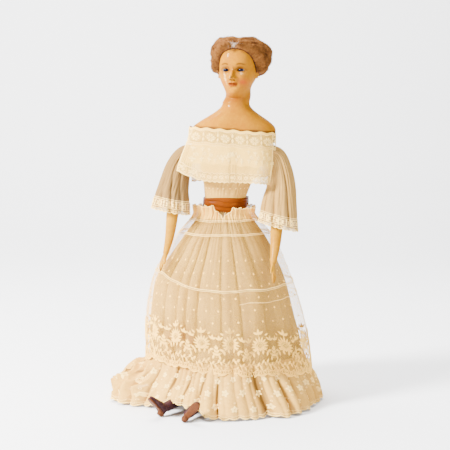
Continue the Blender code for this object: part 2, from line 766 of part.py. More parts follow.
def sash_bow(finish):
    """Knot, two loops and two ribbon ends behind the waist."""
    z = WAIST_Z + SASH_HEIGHT * 0.62
    back = bodice_half(z)[1] + SASH_THICKNESS + BOW_STAND
    knot = sphere("sash_bow", Vector((WAIST_X, back + KNOT_HALF * 0.27, z)), KNOT_HALF, finish, (1.0, 0.8, 1.2))
    for sign, length in ((-1, LOOP_RIGHT), (1, LOOP_LEFT)):
        middle = Vector((WAIST_X + sign * (KNOT_HALF / 3 + length / 2), back + KNOT_HALF / 3, z + 0.0005))
        loop = sphere(f"loop_{sign}", middle, LOOP_HALF, None, (length / (2 * LOOP_HALF), 0.60, 1.0))
        boolean(knot, loop, "UNION")
    for name, share in (("tail_right", 0.265), ("tail_left", 0.20)):
        boolean(knot, bow_tail(name, round(SKIRT_STEPS * share)), "UNION")
    return knot


# Where each heel stands: its angle round the skirt and how far out from the underskirt's hem;
# its height, which way the toe leans from it, and which way the sole looks
BOOTS = {
    "right": {"heel": (232.92, HEEL_OUT_RIGHT), "rest": 0.0050, "toe": (-0.36, -0.50, 0.62), "sole": (-0.70, -0.60, -0.60)},
    "left": {"heel": (248.63, HEEL_OUT_LEFT), "rest": 0.0050, "toe": (0.42, -0.42, 0.58), "sole": (-0.50, -0.75, -0.60)},
}


def boot(side, finish, grow=0.0, name=None):
    """A slim boot standing on its heel with its toe up, and a shaft back into the skirt."""
    stand = BOOTS[side]
    toe = Vector(stand["toe"]).normalized()
    sole = Vector(stand["sole"])
    sole = (sole - toe * sole.dot(toe)).normalized()
    across = toe.cross(sole).normalized()
    place, out = stand["heel"]
    heel = skirt_point(math.radians(place), 0.0, out)
    heel.z = stand["rest"]
    rings = []
    # along the foot: share of its length, half width and height of the foot above the sole
    shape = ((-0.12, 0.26, 0.60), (0.0, 0.36, 1.0), (0.25, 0.34, 1.05), (0.5, 0.38, 0.80),
             (0.75, 0.46, 0.58), (0.95, 0.34, 0.40), (1.03, 0.14, 0.20))
    for share, half, tall in shape:
        height = tall * SOLE_WIDTH * 0.5
        centre = heel + toe * SOLE_LENGTH * share - sole * height
        ovals = (oval(2 * math.pi * k / 10, half * SOLE_WIDTH + grow, height + grow, 2.8) for k in range(10))
        rings.append([centre + across * x + sole * y for x, y in ovals])
    rings[0] = [p - toe * grow for p in rings[0]]
    rings[-1] = [p + toe * grow for p in rings[-1]]
    obj = capped_body(name or f"boot_{side}", rings, finish)
    boolean(obj, boot_shaft(side, heel, sole, toe, grow), "UNION")
    boolean(obj, heel_block(side, heel, sole, toe, across, grow), "UNION")
    return obj


def boot_shaft(side, heel, sole, toe, grow):
    """The ankle part, from the back of the foot in under the skirt."""
    inward = Vector((-heel.x, -heel.y, 0.020)).normalized()
    start = heel - sole * SOLE_WIDTH * 0.5 + toe * SOLE_LENGTH * 0.08
    start.z = max(start.z, BOOT_SHAFT_HALF + 0.0016)
    other = inward.cross(Vector((0, 0, 1))).normalized()
    up = other.cross(inward)
    rings = []
    for share, size in ((-0.02 - 10 * grow, 0.62), (0.25, 0.90), (1.0, 1.0)):
        middle = start + inward * BOOT_SHAFT_LENGTH * share
        radius = BOOT_SHAFT_HALF * size + grow
        rings.append([middle + (other * math.cos(a) + up * math.sin(a)) * radius
                      for a in (2 * math.pi * k / 10 for k in range(10))])
    return capped_body(f"shaft_{side}_{round(grow * 1e4)}", rings, None)


def heel_block(side, heel, sole, toe, across, grow):
    """The stacked heel under the back of the sole."""
    rings = []
    for depth, size in ((-0.002, 1.0), (HEEL_HEIGHT + grow, 0.85)):
        middle = heel + sole * depth + toe * SOLE_LENGTH * 0.03
        half_width = SOLE_WIDTH * 0.34 * size + grow
        half_length = SOLE_LENGTH * 0.12 * size + grow
        ovals = (oval(2 * math.pi * k / 8, half_width, half_length, 2.4) for k in range(8))
        rings.append([middle + across * x + toe * y for x, y in ovals])
    return capped_body(f"heel_{side}_{round(grow * 1e4)}", rings, None)


def build():
    for old in list(bpy.data.objects):
        bpy.data.objects.remove(old)
    wax = material("wax", (0.80, 0.50, 0.20), 0.38)
    hair = material("mohair", (0.36, 0.22, 0.11), 0.9)
    glass = material("eye glass", (0.05, 0.05, 0.10), 0.08)
    lawn = material("cream lawn", (0.78, 0.68, 0.53), 0.85)
    lace = material("white lace", (0.86, 0.80, 0.70), 0.85)
    satin = material("rust satin", (0.48, 0.17, 0.03), 0.35)
    net = material("cream net", (0.80, 0.70, 0.52), 0.85)
    cotton = material("embroidered cotton", (0.82, 0.73, 0.58), 0.85)
    leather = material("tan leather", (0.33, 0.12, 0.05), 0.5)

    shoulder_head(wax)
    for name, sign in (("eye_right", -1), ("eye_left", 1)):
        sphere(name, eye_centre(sign), EYE_RADIUS, glass)
    wig(hair)
    bodice(lawn)
    collar(lace)
    body_cutter = capped_body("bodice_cutter", grown_bodice(), None)
    for side in POSES:
        sleeve(side, lawn, [body_cutter])
        arm(side, wax)
    sash(satin)
    sash_bow(satin)
    underskirt(lawn)
    boot_cutters = [boot(side, None, 0.0005, f"boot_cutter_{side}") for side in BOOTS]
    flounce(cotton, boot_cutters)
    overskirt(net)
    inside = capped_body("skirt_cutter", [skirt_ring(z, GAP) for z in skirt_levels()], None)
    for side in BOOTS:
        boolean(boot(side, leather), inside, "DIFFERENCE")


def grown_bodice():
    """The bodice with clearance all round, for fitting what meets it."""
    rings = [bodice_ring(z, BODICE_STEPS, GAP + 0.0001) for z in bodice_levels()]
    return [[p - Vector((0, 0, 2 * GAP)) for p in rings[0]]] + rings


build()
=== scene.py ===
import math

import bpy
import numpy as np
from mathutils import Matrix, Vector, kdtree


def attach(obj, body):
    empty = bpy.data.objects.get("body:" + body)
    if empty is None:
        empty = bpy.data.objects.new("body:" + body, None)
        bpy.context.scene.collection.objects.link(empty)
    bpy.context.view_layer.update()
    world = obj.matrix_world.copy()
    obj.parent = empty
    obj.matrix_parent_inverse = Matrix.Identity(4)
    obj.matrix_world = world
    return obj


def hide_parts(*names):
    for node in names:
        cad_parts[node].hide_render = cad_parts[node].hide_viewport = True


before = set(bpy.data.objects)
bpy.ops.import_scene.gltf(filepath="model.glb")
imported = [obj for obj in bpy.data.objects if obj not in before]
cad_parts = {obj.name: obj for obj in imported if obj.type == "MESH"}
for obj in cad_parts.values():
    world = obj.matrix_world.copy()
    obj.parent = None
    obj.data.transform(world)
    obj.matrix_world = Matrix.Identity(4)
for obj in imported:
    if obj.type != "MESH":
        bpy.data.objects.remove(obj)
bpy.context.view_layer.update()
deg = math.radians(1)


# shapes that every piece is made with

def ease(t):
    t = np.clip(t, 0, 1)
    return t * t * (3 - 2 * t)


def hump(x, width):
    return np.exp(-((x / width) ** 2))


def halfTurn(a):
    # The angle brought between minus and plus half a turn
    return (a + math.pi) % (2 * math.pi) - math.pi


def drift(seed, scale, *coords):
    # Soft unevenness between about -1 and 1, the same in every run
    rng = np.random.default_rng(seed)
    total = 0
    for k in range(6):
        speeds = rng.normal(size=len(coords)) * scale
        total = total + np.sin(sum(c * s for c, s in zip(coords, speeds)) + rng.uniform(0, 6.28))
    return total / 3.5


def ringed(k, a):
    # Two coordinates that close on themselves round a skirt
    return k * np.cos(a), k * np.sin(a)


def smoothThrough(keys, count):
    # Rows on a smooth curve through the key rows
    keys = np.array(keys, float)
    ends = np.vstack([2 * keys[0] - keys[1], keys, 2 * keys[-1] - keys[-2]])
    t = np.linspace(0, len(keys) - 1, count)
    i = np.minimum(t.astype(int), len(keys) - 2)
    u = (t - i)[:, None]
    a, b, c, d = ends[i], ends[i + 1], ends[i + 2], ends[i + 3]
    return 0.5 * (2 * b + (c - a) * u + (2 * a - 5 * b + 4 * c - d) * u**2 + (3 * b - a - 3 * c + d) * u**3)


def gridFaces(rows, columns, around=False):
    # Faces of a net of points kept row by row
    i, j = np.meshgrid(np.arange(rows - 1), np.arange(columns if around else columns - 1), indexing="ij")
    k = (j + 1) % columns
    return np.stack([i * columns + j, i * columns + k, (i + 1) * columns + k, (i + 1) * columns + j],
                    -1).reshape(-1, 4)


def intoScene(thing):
    bpy.context.scene.collection.objects.link(thing)


def closedFaces(rows, columns):
    # Faces of a tube of rings, with both ends filled
    ends = np.arange(columns)
    return [*gridFaces(rows, columns, around=True), ends[::-1], ends + (rows - 1) * columns]


class Pile:
    # Points and faces of many small shapes that end up in one mesh

    def __init__(self):
        self.points, self.faces, self.count = [], [], 0

    def add(self, points, faces):
        self.points.append(np.asarray(points, float))
        self.faces.extend((np.asarray(f) + self.count).tolist() for f in faces)
        self.count += len(points)

    def allPoints(self):
        return np.concatenate(self.points)


def makePiece(name, points, faces, finish, cloth=None, masks=None, replaces=()):
    mesh = bpy.data.meshes.new(name)
    mesh.from_pydata(np.asarray(points, float).reshape(-1, 3).tolist(), [],
                     [list(map(int, f)) for f in faces])
    if cloth is not None:
        corner = np.empty(len(mesh.loops), np.int32)
        mesh.loops.foreach_get("vertex_index", corner)
        layer = mesh.uv_layers.new(name="cloth")
        layer.data.foreach_set("uv",
                               np.asarray(cloth, float).reshape(-1, 2)[corner].astype(np.float32).ravel())
    for mask, values in (masks or {}).items():
        layer = mesh.attributes.new(mask, "FLOAT", "POINT")
        layer.data.foreach_set("value", np.asarray(values, float).ravel().astype(np.float32))
    mesh.materials.append(finish)
    mesh.shade_smooth()
    piece = bpy.data.objects.new(name, mesh)
    intoScene(piece)
    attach(piece, "root")
    if replaces:
        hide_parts(*replaces)
    return piece


def hose(pile, path, radius, sides, flat=1.0, up=(0, 0, 1)):
    # A round or flattened strand along a path, with closed ends
    path = np.asarray(path, float)
    n = len(path)
    radius = np.broadcast_to(radius, n)
    along = np.gradient(path, axis=0)
    along /= np.linalg.norm(along, axis=1, keepdims=True) + 1e-12
    side = np.cross(along, np.asarray(up, float))
    side /= np.linalg.norm(side, axis=1, keepdims=True) + 1e-9
    rise = np.cross(side, along)
    angle = 2 * math.pi * np.arange(sides) / sides
    ring = side[:, None] * np.cos(angle)[None, :, None] + rise[:, None] * np.sin(angle)[None, :, None] * flat
    points = (path[:, None] + ring * radius[:, None, None]).reshape(-1, 3)
    pile.add(points, closedFaces(n, sides))


def liftedFrom(surface, u, v, out):
    # Points on a cloth's surface, moved out along its normal
    e = 0.0005
    here = surface(u, v)
    across = surface(u + e, v) - surface(u - e, v)
    up = surface(u, v + e) - surface(u, v - e)
    normal = np.cross(across, up)
    normal /= np.linalg.norm(normal, axis=-1, keepdims=True) + 1e-12
    return here + normal * np.asarray(out)[..., None]


# stitches: flat shapes in a cloth's own metres, domed a little when they are sewn on

class Stitches:
    def __init__(self):
        self.spots, self.domes, self.faces, self.count = [], [], [], 0

    def add(self, spots, domes, faces):
        self.spots.append(np.asarray(spots, float))
        self.domes.append(np.asarray(domes, float))
        self.faces.extend((np.asarray(f) + self.count).tolist() for f in faces)
        self.count += len(spots)

    def leaf(self, at, angle, length, width):
        points = 9
        t = np.linspace(0, 1, points)
        half = width / 2 * np.sin(math.pi * t**0.8) ** 0.8
        half[0] = half[-1] = width * 0.06
        along = np.stack([np.cos(angle) * t * length, np.sin(angle) * t * length], 1) + at
        side = np.array([-math.sin(angle), math.cos(angle)])
        spots = np.concatenate([along - side * half[:, None], along, along + side * half[:, None]])
        domes = np.concatenate([np.zeros(points), np.full(points, 1.0), np.zeros(points)])
        self.add(spots, domes, gridFaces(3, points))

    def line(self, path, width):
        path = np.asarray(path, float)
        along = np.gradient(path, axis=0)
        along /= np.linalg.norm(along, axis=1, keepdims=True) + 1e-12
        side = np.stack([-along[:, 1], along[:, 0]], 1) * width / 2
        n = len(path)
        self.add(np.concatenate([path - side, path, path + side]),
                 np.concatenate([np.zeros(n), np.ones(n), np.zeros(n)]), gridFaces(3, n))

    def ring(self, at, radius, width, points=14):
        angle = np.linspace(0, 2 * math.pi, points)
        self.line(np.stack([np.cos(angle), np.sin(angle)], 1) * radius + at, width)

    def dot(self, at, radius, points=8):
        angle = 2 * math.pi * np.arange(points) / points
        rim = np.stack([np.cos(angle), np.sin(angle)], 1) * radius + at
        spots = np.concatenate([[at], rim])
        faces = [(0, 1 + i, 1 + (i + 1) % points) for i in range(points)]
        self.add(spots, [1.0] + [0.0] * points, faces)

    def flower(self, at, inner, outer, petals, width, turn=0.0, span=2 * math.pi):
        for k in range(petals):
            angle = turn + span * (k + 0.5) / petals
            start = np.array(at) + inner * np.array([math.cos(angle), math.sin(angle)])
            self.leaf(start, angle, outer - inner, width)

    def sewn(self, name, surface, finish, slot, base, thick):
        spots, domes = np.concatenate(self.spots), np.concatenate(self.domes)
        points = liftedFrom(surface, spots[:, 0], spots[:, 1], base + thick * domes)
        return makePiece(name, points, self.faces, finish, cloth=spots)


# shader groups that several finishes share

def startGroup(name, inputs, outputs):
    group = bpy.data.node_groups.new(name, "ShaderNodeTree")
    for label, kind, value in inputs:
        socket = group.interface.new_socket(name=label, in_out="INPUT", socket_type=kind)
        if value is not None:
            socket.default_value = value
    for label, kind in outputs:
        group.interface.new_socket(name=label, in_out="OUTPUT", socket_type=kind)
    return group, group.nodes.new("NodeGroupInput"), group.nodes.new("NodeGroupOutput")


def addMath(tree, operation, first, second=None, third=None, clamp=False):
    node = tree.nodes.new("ShaderNodeMath")
    node.operation = operation
    node.use_clamp = clamp
    for socket, value in zip(node.inputs, (first, second, third)):
        if value is None:
            continue
        if isinstance(value, (int, float)):
            socket.default_value = value
        else:
            tree.links.new(value, socket)
    return node.outputs[0]


def stretched(tree, value, gain, shift):
    # A value spread over more of 0 to 1, and cut off there
    return addMath(tree, "MULTIPLY_ADD", value, gain, shift, clamp=True)


def ownPlace(tree):
    # Metres in the object's own space
    return tree.nodes.new("ShaderNodeTexCoord").outputs["Object"]


def addMix(tree, share, first, second):
    node = tree.nodes.new("ShaderNodeMix")
    node.data_type = "RGBA"
    for socket, value in ((node.inputs[0], share), (node.inputs[6], first), (node.inputs[7], second)):
        if isinstance(value, (int, float)):
            socket.default_value = value
        elif isinstance(value, tuple):
            socket.default_value = (*value, 1)
        else:
            tree.links.new(value, socket)
    return node.outputs[2]


def addNoise(tree, vector, scale, detail, roughness=0.55):
    node = tree.nodes.new("ShaderNodeTexNoise")
    node.inputs["Detail"].default_value = detail
    node.inputs["Roughness"].default_value = roughness
    if isinstance(scale, (int, float)):
        node.inputs["Scale"].default_value = scale
    else:
        tree.links.new(scale, node.inputs["Scale"])
    tree.links.new(vector, node.inputs["Vector"])
    return node.outputs["Fac"]


def makeThreadsGroup():
    # Plain weave from a cloth's own metres: raised threads and the gaps between them
    group, start, end = startGroup(
        "woven threads",
        [("Cloth", "NodeSocketVector", None), ("Thread Pitch", "NodeSocketFloat", 0.0005)],
        [("Height", "NodeSocketFloat"), ("Gap", "NodeSocketFloat")],
    )
    parts = group.nodes.new("ShaderNodeSeparateXYZ")
    group.links.new(start.outputs["Cloth"], parts.inputs[0])
    waves = []
    for axis in (0, 1):
        turns = addMath(group, "DIVIDE", parts.outputs[axis], start.outputs["Thread Pitch"])
        waves.append(addMath(group, "SINE", addMath(group, "MULTIPLY", turns, 2 * math.pi)))
    height = addMath(group, "ADD", addMath(group, "ABSOLUTE", waves[0]), addMath(group, "ABSOLUTE", waves[1]))
    gap = addMath(group, "LESS_THAN", height, 0.42)
    group.links.new(height, end.inputs["Height"])
    group.links.new(gap, end.inputs["Gap"])
    return group


def makeNetGroup():
    # Machine net: six-sided holes, from a cloth's own metres. Thread is 1 on the mesh and 0 in a hole
    group, start, end = startGroup(
        "machine net",
        [("Cloth", "NodeSocketVector", None), ("Hole Size", "NodeSocketFloat", 0.0014),
         ("Thread Share", "NodeSocketFloat", 0.14)],
        [("Thread", "NodeSocketFloat")],
    )
    grow = addMath(group, "DIVIDE", 1.0, start.outputs["Hole Size"])
    cell = group.nodes.new("ShaderNodeTexVoronoi")
    cell.feature = "DISTANCE_TO_EDGE"
    cell.voronoi_dimensions = "2D"
    cell.inputs["Randomness"].default_value = 0.35
    group.links.new(start.outputs["Cloth"], cell.inputs["Vector"])
    group.links.new(grow, cell.inputs["Scale"])
    thread = addMath(group, "LESS_THAN", cell.outputs["Distance"], start.outputs["Thread Share"])
    group.links.new(thread, end.inputs["Thread"])
    return group


def makeAgeGroup():
    # Yellowing and soft stains in the object's own space
    group, start, end = startGroup(
        "age of cloth",
        [("Colour", "NodeSocketColor", (0.8, 0.7, 0.5, 1)),
         ("Stain Colour", "NodeSocketColor", (0.5, 0.3, 0.1, 1)),
         ("Amount", "NodeSocketFloat", 0.4), ("Scale", "NodeSocketFloat", 25.0)],
        [("Colour", "NodeSocketColor")],
    )
    place = ownPlace(group)
    broad = addNoise(group, place, start.outputs["Scale"], 4.0, 0.6)
    fine = addNoise(group, place, 260.0, 3.0, 0.6)
    mask = stretched(group, addMath(group, "SUBTRACT", broad, 0.42), 2.6, 0.0)
    speck = stretched(group, addMath(group, "SUBTRACT", fine, 0.46), 2.2, 0.0)
    stain = addMath(group, "ADD", mask, speck)
    share = addMath(group, "MULTIPLY", stain, start.outputs["Amount"], clamp=True)
    colour = addMix(group, share, start.outputs["Colour"], start.outputs["Stain Colour"])
    group.links.new(colour, end.inputs["Colour"])
    return group


threadsGroup, netGroup, ageGroup = makeThreadsGroup(), makeNetGroup(), makeAgeGroup()


def useGroup(tree, group, links=(), **values):
    node = tree.nodes.new("ShaderNodeGroup")
    node.node_tree = group
    for label, source in links:
        tree.links.new(source, node.inputs[label])
    for label, value in values.items():
        node.inputs[label.replace("_", " ")].default_value = value
    return node


def startFinish(name, roughness, **plain):
    finish = bpy.data.materials.new(name)
    finish.use_nodes = True
    tree = finish.node_tree
    shader = tree.nodes["Principled BSDF"]
    shader.inputs["Roughness"].default_value = roughness
    for label, value in plain.items():
        shader.inputs[label.replace("_", " ")].default_value = value
    return finish, tree, shader


def addBump(tree, shader, height, strength, distance):
    bump = tree.nodes.new("ShaderNodeBump")
    bump.inputs["Strength"].default_value = strength
    bump.inputs["Distance"].default_value = distance
    tree.links.new(height, bump.inputs["Height"])
    tree.links.new(bump.outputs[0], shader.inputs["Normal"])


def attribute(tree, name):
    node = tree.nodes.new("ShaderNodeAttribute")
    node.attribute_name = name
    return node.outputs["Fac"]


def makeCloth(name, look):
    # A woven or netted cloth. cover is how much a thread-filled spot hides; open does so in a mesh
    finish, tree, shader = startFinish(name, look["roughness"], Specular_IOR_Level=0.05)
    cloth = tree.nodes.new("ShaderNodeUVMap")
    cloth.uv_map = "cloth"
    threads = useGroup(tree, threadsGroup, [("Cloth", cloth.outputs[0])], Thread_Pitch=look["pitch"])
    age = useGroup(tree, ageGroup, Colour=(*look["colour"], 1), Stain_Colour=(*look["stain"], 1),
                   Amount=look["aged"], Scale=22.0)
    colour = age.outputs[0]
    for mask, tint in look.get("tints", {}).items():
        colour = addMix(tree, attribute(tree, mask), colour, tint)
    tree.links.new(colour, shader.inputs["Base Color"])
    addBump(tree, shader, threads.outputs["Height"], look.get("relief", 0.25), 0.0002)
    if look["cover"] < 1:
        ground = look["cover"]
        alpha = addMath(tree, "MULTIPLY_ADD", threads.outputs["Gap"], -0.25 * ground, ground)
        if "open" in look:
            mesh = useGroup(tree, netGroup, [("Cloth", cloth.outputs[0])], Hole_Size=look["hole"],
                            Thread_Share=look["thread"])
            netted = addMath(tree, "MULTIPLY_ADD", mesh.outputs[0], 0.93 - look["open"], look["open"])
            share = attribute(tree, "openwork")
            plain = addMath(tree, "MULTIPLY", alpha, addMath(tree, "SUBTRACT", 1.0, share))
            alpha = addMath(tree, "ADD", plain, addMath(tree, "MULTIPLY", netted, share))
        tree.links.new(alpha, shader.inputs["Alpha"])
    return finish


# The fold tints are painted shade in the folds' valleys, the lace's tint is painted shade in its open ground,
# and the sleeve's grey tint is partly greyer cloth and partly painted shade
looks = {
    "lace": {"colour": (0.94, 0.57, 0.10), "stain": (0.74, 0.34, 0.035), "aged": 0.35, "roughness": 0.9,
             "pitch": 0.0005, "cover": 0.96, "open": 0.46, "hole": 0.0011, "thread": 0.14,
             "tints": {"laceGroundShade": (0.34, 0.185, 0.045)}},
    "sleeve": {"colour": (0.40, 0.225, 0.055), "stain": (0.29, 0.14, 0.026), "aged": 0.4, "roughness": 0.9,
               "pitch": 0.0004, "cover": 0.95, "open": 0.35, "hole": 0.0012, "thread": 0.16,
               "tints": {"valleyShade": (0.15, 0.065, 0.012), "greyAndShade": (0.17, 0.095, 0.030)}},
    "bodice": {"colour": (0.50, 0.275, 0.055), "stain": (0.36, 0.17, 0.026), "aged": 0.4, "roughness": 0.9,
               "pitch": 0.0004, "cover": 1.0},
    "underskirt": {"colour": (0.37, 0.212, 0.056), "stain": (0.17, 0.092, 0.024), "aged": 0.55,
                   "roughness": 0.85,
                   "pitch": 0.0004, "cover": 1.0, "tints": {"valleyShade": (0.042, 0.022, 0.007)}},
    "net": {"colour": (0.94, 0.53, 0.085), "stain": (0.70, 0.33, 0.035), "aged": 0.5, "roughness": 0.9,
            "pitch": 0.0005, "cover": 0.95, "open": 0.04, "hole": 0.0009, "thread": 0.045,
            "tints": {"stained": (0.42, 0.14, 0.02)}},
    "flounce": {"colour": (0.68, 0.380, 0.076), "stain": (0.40, 0.185, 0.028), "aged": 0.55, "roughness": 0.9,
                "pitch": 0.0004, "cover": 0.92, "tints": {"valleyShade": (0.135, 0.058, 0.010)}},
    "embroidery": {"colour": (0.94, 0.56, 0.10), "stain": (0.78, 0.36, 0.04), "aged": 0.4, "roughness": 0.8,
                   "pitch": 0.0003, "cover": 1.0, "relief": 0.5},
    "whitework": {"colour": (0.97, 0.66, 0.19), "stain": (0.86, 0.46, 0.08), "aged": 0.3, "roughness": 0.85,
                  "pitch": 0.0003, "cover": 1.0, "relief": 0.5},
}
finishes = {name: makeCloth(name, look) for name, look in looks.items()}
print("finishes for cloth made")


# the skirts' common form

skirt = {
    "waistZ": 0.2585,
    "fullHalf": 0.104,
    # share of the waist's height, then the right and left sides as shares of the full half width
    "sides": ((0.0, -1.02, 0.98), (0.20, -1.02, 0.97), (0.35, -1.02, 0.93), (0.50, -1.00, 0.837),
              (0.657, -0.93, 0.72), (0.79, -0.76, 0.572), (0.91, -0.60, 0.42), (1.0, -0.437, 0.264)),
    "topDepth": 0.80,
    "round": 0.106,  # radius that turns angles into metres of cloth
}


def skirtSides(z):
    rows = np.array(skirt["sides"])
    reach = []
    for column in (1, 2):
        spread = [np.interp((z + shift) / skirt["waistZ"], rows[:, 0], rows[:, column]) for shift in
                  (-0.012, -0.006, 0, 0.006, 0.012)]
        near = np.interp(z / skirt["waistZ"], rows[:, 0], rows[:, column])
        reach.append(skirt["fullHalf"]
                     * (near + (np.mean(spread, axis=0) - near) * ease((skirt["waistZ"] - z) / 0.02)))
    return reach


def skirtAt(a, z, out):
    # A point the given distance outside the skirt's plain form. a is 0 in front, and grows to her left
    right, left = skirtSides(z)
    half = (left - right) / 2
    full = ease((half / skirt["fullHalf"] - 0.35) / 0.6)
    depth = half * (skirt["topDepth"] + (1 - skirt["topDepth"]) * full)
    radius = half * depth / np.hypot(depth * np.sin(a), half * np.cos(a)) + out
    return np.stack([(left + right) / 2 + radius * np.sin(a), -radius * np.cos(a), z + 0 * a], -1)


def gathers(a, count, seed, sharp=0.8):
    # Folds that are round outwards and narrow inwards, unevenly spaced
    shift = 0.10 * np.sin(3 * a + seed) + 0.06 * np.sin(7 * a + 2.3 * seed)
    return 2 * np.abs(np.sin(0.5 * count * (a + shift))) ** sharp - 1


def pleatFolds(a, z):
    return gathers(a + 0.03 * np.sin(2 * a + 1) + 0.02 * np.sin(30 * z), 21, 2.0, 0.5)


def underOut(a, z):
    low = ease((skirt["waistZ"] - z) / 0.10)
    fine = 0.0007 * (1 - 0.8 * low) * gathers(a, 52, 1.0)
    pleats = pleatFolds(a, z) * (1 + 0.45 * drift(4, 1.0, *ringed(3, a)))
    broad = 0.0042 * ease((skirt["waistZ"] - z) / 0.05) * pleats
    loose = 0.0016 * low * drift(3, 1.0, *ringed(4, a), 36 * z)
    # on her right the stiff skirt fills the net, and on her left it stands clear of it
    full = 0.0085 * hump(halfTurn(a + 88 * deg), 42 * deg) * ease((0.235 - z) / 0.08)
    return -0.0046 + fine + broad + loose + full


def netOut(a, z):
    low = ease((skirt["waistZ"] - z) / 0.045)
    sides = np.sin(a) ** 2 * 0.0065
    stand = 0.0034 + (0.0016 + sides) * low
    fine = 0.0010 * (1 - ease((0.250 - z) / 0.028)) * gathers(a, 60, 4.0)
    broad = 0.0022 * ease((0.24 - z) / 0.12) * gathers(a + 0.03 * np.sin(22 * z + 1), 17, 5.2, 1.0)
    loose = 0.0014 * low * drift(8, 1.0, *ringed(3.5, a), 34 * z)
    return np.maximum(stand + fine + broad + loose, underOut(a, z) + 0.0012)


def seamRow(top, bottom, rows):
    # Heights from the top to the bottom edge, for each angle
    return top + (bottom - top) * np.linspace(0, 1, rows)[:, None]


def clothLength(z):
    return (skirt["waistZ"] - z) * 1.12


def clothRound(a, z):
    # Metres of cloth round the skirt from the front
    right, left = skirtSides(np.minimum(z, skirt["waistZ"]))
    return a * (left - right) / 2 * 1.02


underskirt = {"columns": 620, "rows": 48, "hemZ": 0.012, "flat": (0.70, 0.275)}


def makeUnderskirt():
    a = np.linspace(-math.pi, math.pi, underskirt["columns"])[None, :]
    z = seamRow(skirt["waistZ"] + 0.003, underskirt["hemZ"], underskirt["rows"]) + 0 * a
    a = a + 0 * z
    points = skirtAt(a, z, underOut(a, z))
    cloth = np.stack([clothRound(a, z), -clothLength(z)], -1)
    # painted shade: the pleats' narrow valleys are tinted darker, most in the upper skirt and in front
    valleyShade = (ease((0.20 - pleatFolds(a, z)) / 0.95) * (0.40 + 0.60 * ease((z - 0.15) / 0.05))
            * ease((0.254 - z) / 0.02))
    valleyShade = np.clip(valleyShade
                   * (0.80 + 0.75 * drift(15, 1.0, *ringed(9, a), 16 * z)
                      + 0.25 * hump(halfTurn(a + 6 * deg), 26 * deg)), 0, 0.96)
    piece = makePiece("underskirt_cloth", points, gridFaces(*z.shape), finishes["underskirt"], cloth,
                      masks={"valleyShade": valleyShade}, replaces=["underskirt"])


makeUnderskirt()
print("underskirt made")


# the net overskirt, with its tucks, seams, dots and border

overskirt = {
    "columns": 540,
    "rows": 92,
    "topZ": 0.2700,
    "flat": (0.80, 0.215),
    "tucks": (0.2495, 0.2315),
    "repeats": 17,
    "phase": 2.5 * deg,
    "dotAcross": 0.0172,
    "dotDown": 0.0155,
}


def netHem(a):
    # Height of the net's lower edge: lifted at her right in front, low at her left
    turn = halfTurn(a)
    side = np.interp(turn / deg, (-180, -120, -80, -55, -30, 0, 30, 60, 80, 120, 180),
                     (0.044, 0.050, 0.060, 0.0655, 0.060, 0.0545, 0.0520, 0.0450, 0.0390, 0.040, 0.044))
    return side + 0.0016 * np.sin(11 * a + 1.5) + 0.0010 * np.sin(19 * a)


def scallop(a):
    # Depth of the scalloped edge below the hem line, 0 in the notches
    wave = np.abs(np.cos((a - overskirt["phase"]) * overskirt["repeats"] * 1.5))
    return 0.0028 * wave


def netTop(a):
    # The frill's upper edge, ruffled, with a dip in front
    dip = 0.0150 * np.clip(1 - np.abs(halfTurn(a + 3 * deg)) / (24 * deg), 0, 1) ** 0.9
    return (overskirt["topZ"] + 0.0010 * np.sin(23 * a) + 0.0008 * np.sin(41 * a + 1) - dip
            - 0.002 * (1 - np.cos(a)) - 0.0035 * hump(halfTurn(a - 50 * deg), 45 * deg))


def netPoint(a, z):
    # The net's surface. Above the first tuck it stands up as a frill
    out = netOut(a, np.minimum(z, skirt["waistZ"]))
    frill = ease((z - overskirt["tucks"][0]) / 0.012)
    out = (out * (1 - 0.35 * frill)
           + frill * (0.0024 + 0.0012 * np.sin(43 * a + 2.5 * np.sin(5 * a))
                      + 0.0007 * np.sin(71 * a + 2 * np.sin(3 * a))))
    out = out + 0.12 * np.maximum(z - skirt["waistZ"], 0)
    for tuck in overskirt["tucks"]:
        out = out - 0.0011 * hump(z - tuck, 0.0022)
    point = skirtAt(a, np.minimum(z, skirt["waistZ"]), out)
    point[..., 2] = z
    return point


def makeOverskirt():
    a = np.linspace(-math.pi, math.pi, overskirt["columns"])[None, :]
    z = seamRow(netTop(a), netHem(a) - scallop(a), overskirt["rows"])
    a = a + 0 * z
    points = netPoint(a, z)
    cloth = np.stack([clothRound(a, z), -clothLength(z)], -1)
    edge = ease((z - netHem(a) + 0.001) / 0.003)
    openwork = (edge * (1 - 0.72 * ease((z - 0.2505) / 0.002))
                * (1 - 0.16 * ease((np.abs(halfTurn(a)) - 60 * deg) / (15 * deg))))
    stained = 0.95 * hump(halfTurn(a + 33 * deg), 15 * deg) * hump(z - 0.101, 0.012)
    stained = np.clip(stained * (1 + 0.6 * drift(5, 1.0, *ringed(30, a), 300 * z)), 0, 1)
    piece = makePiece("overskirt_net", points, gridFaces(*z.shape), finishes["net"], cloth,
                      masks={"openwork": openwork, "stained": stained}, replaces=["overskirt"])
    return piece


def netSurface(u, v):
    # The net by metres round from the front, and metres above the floor
    return netPoint(u / skirt["round"], v)


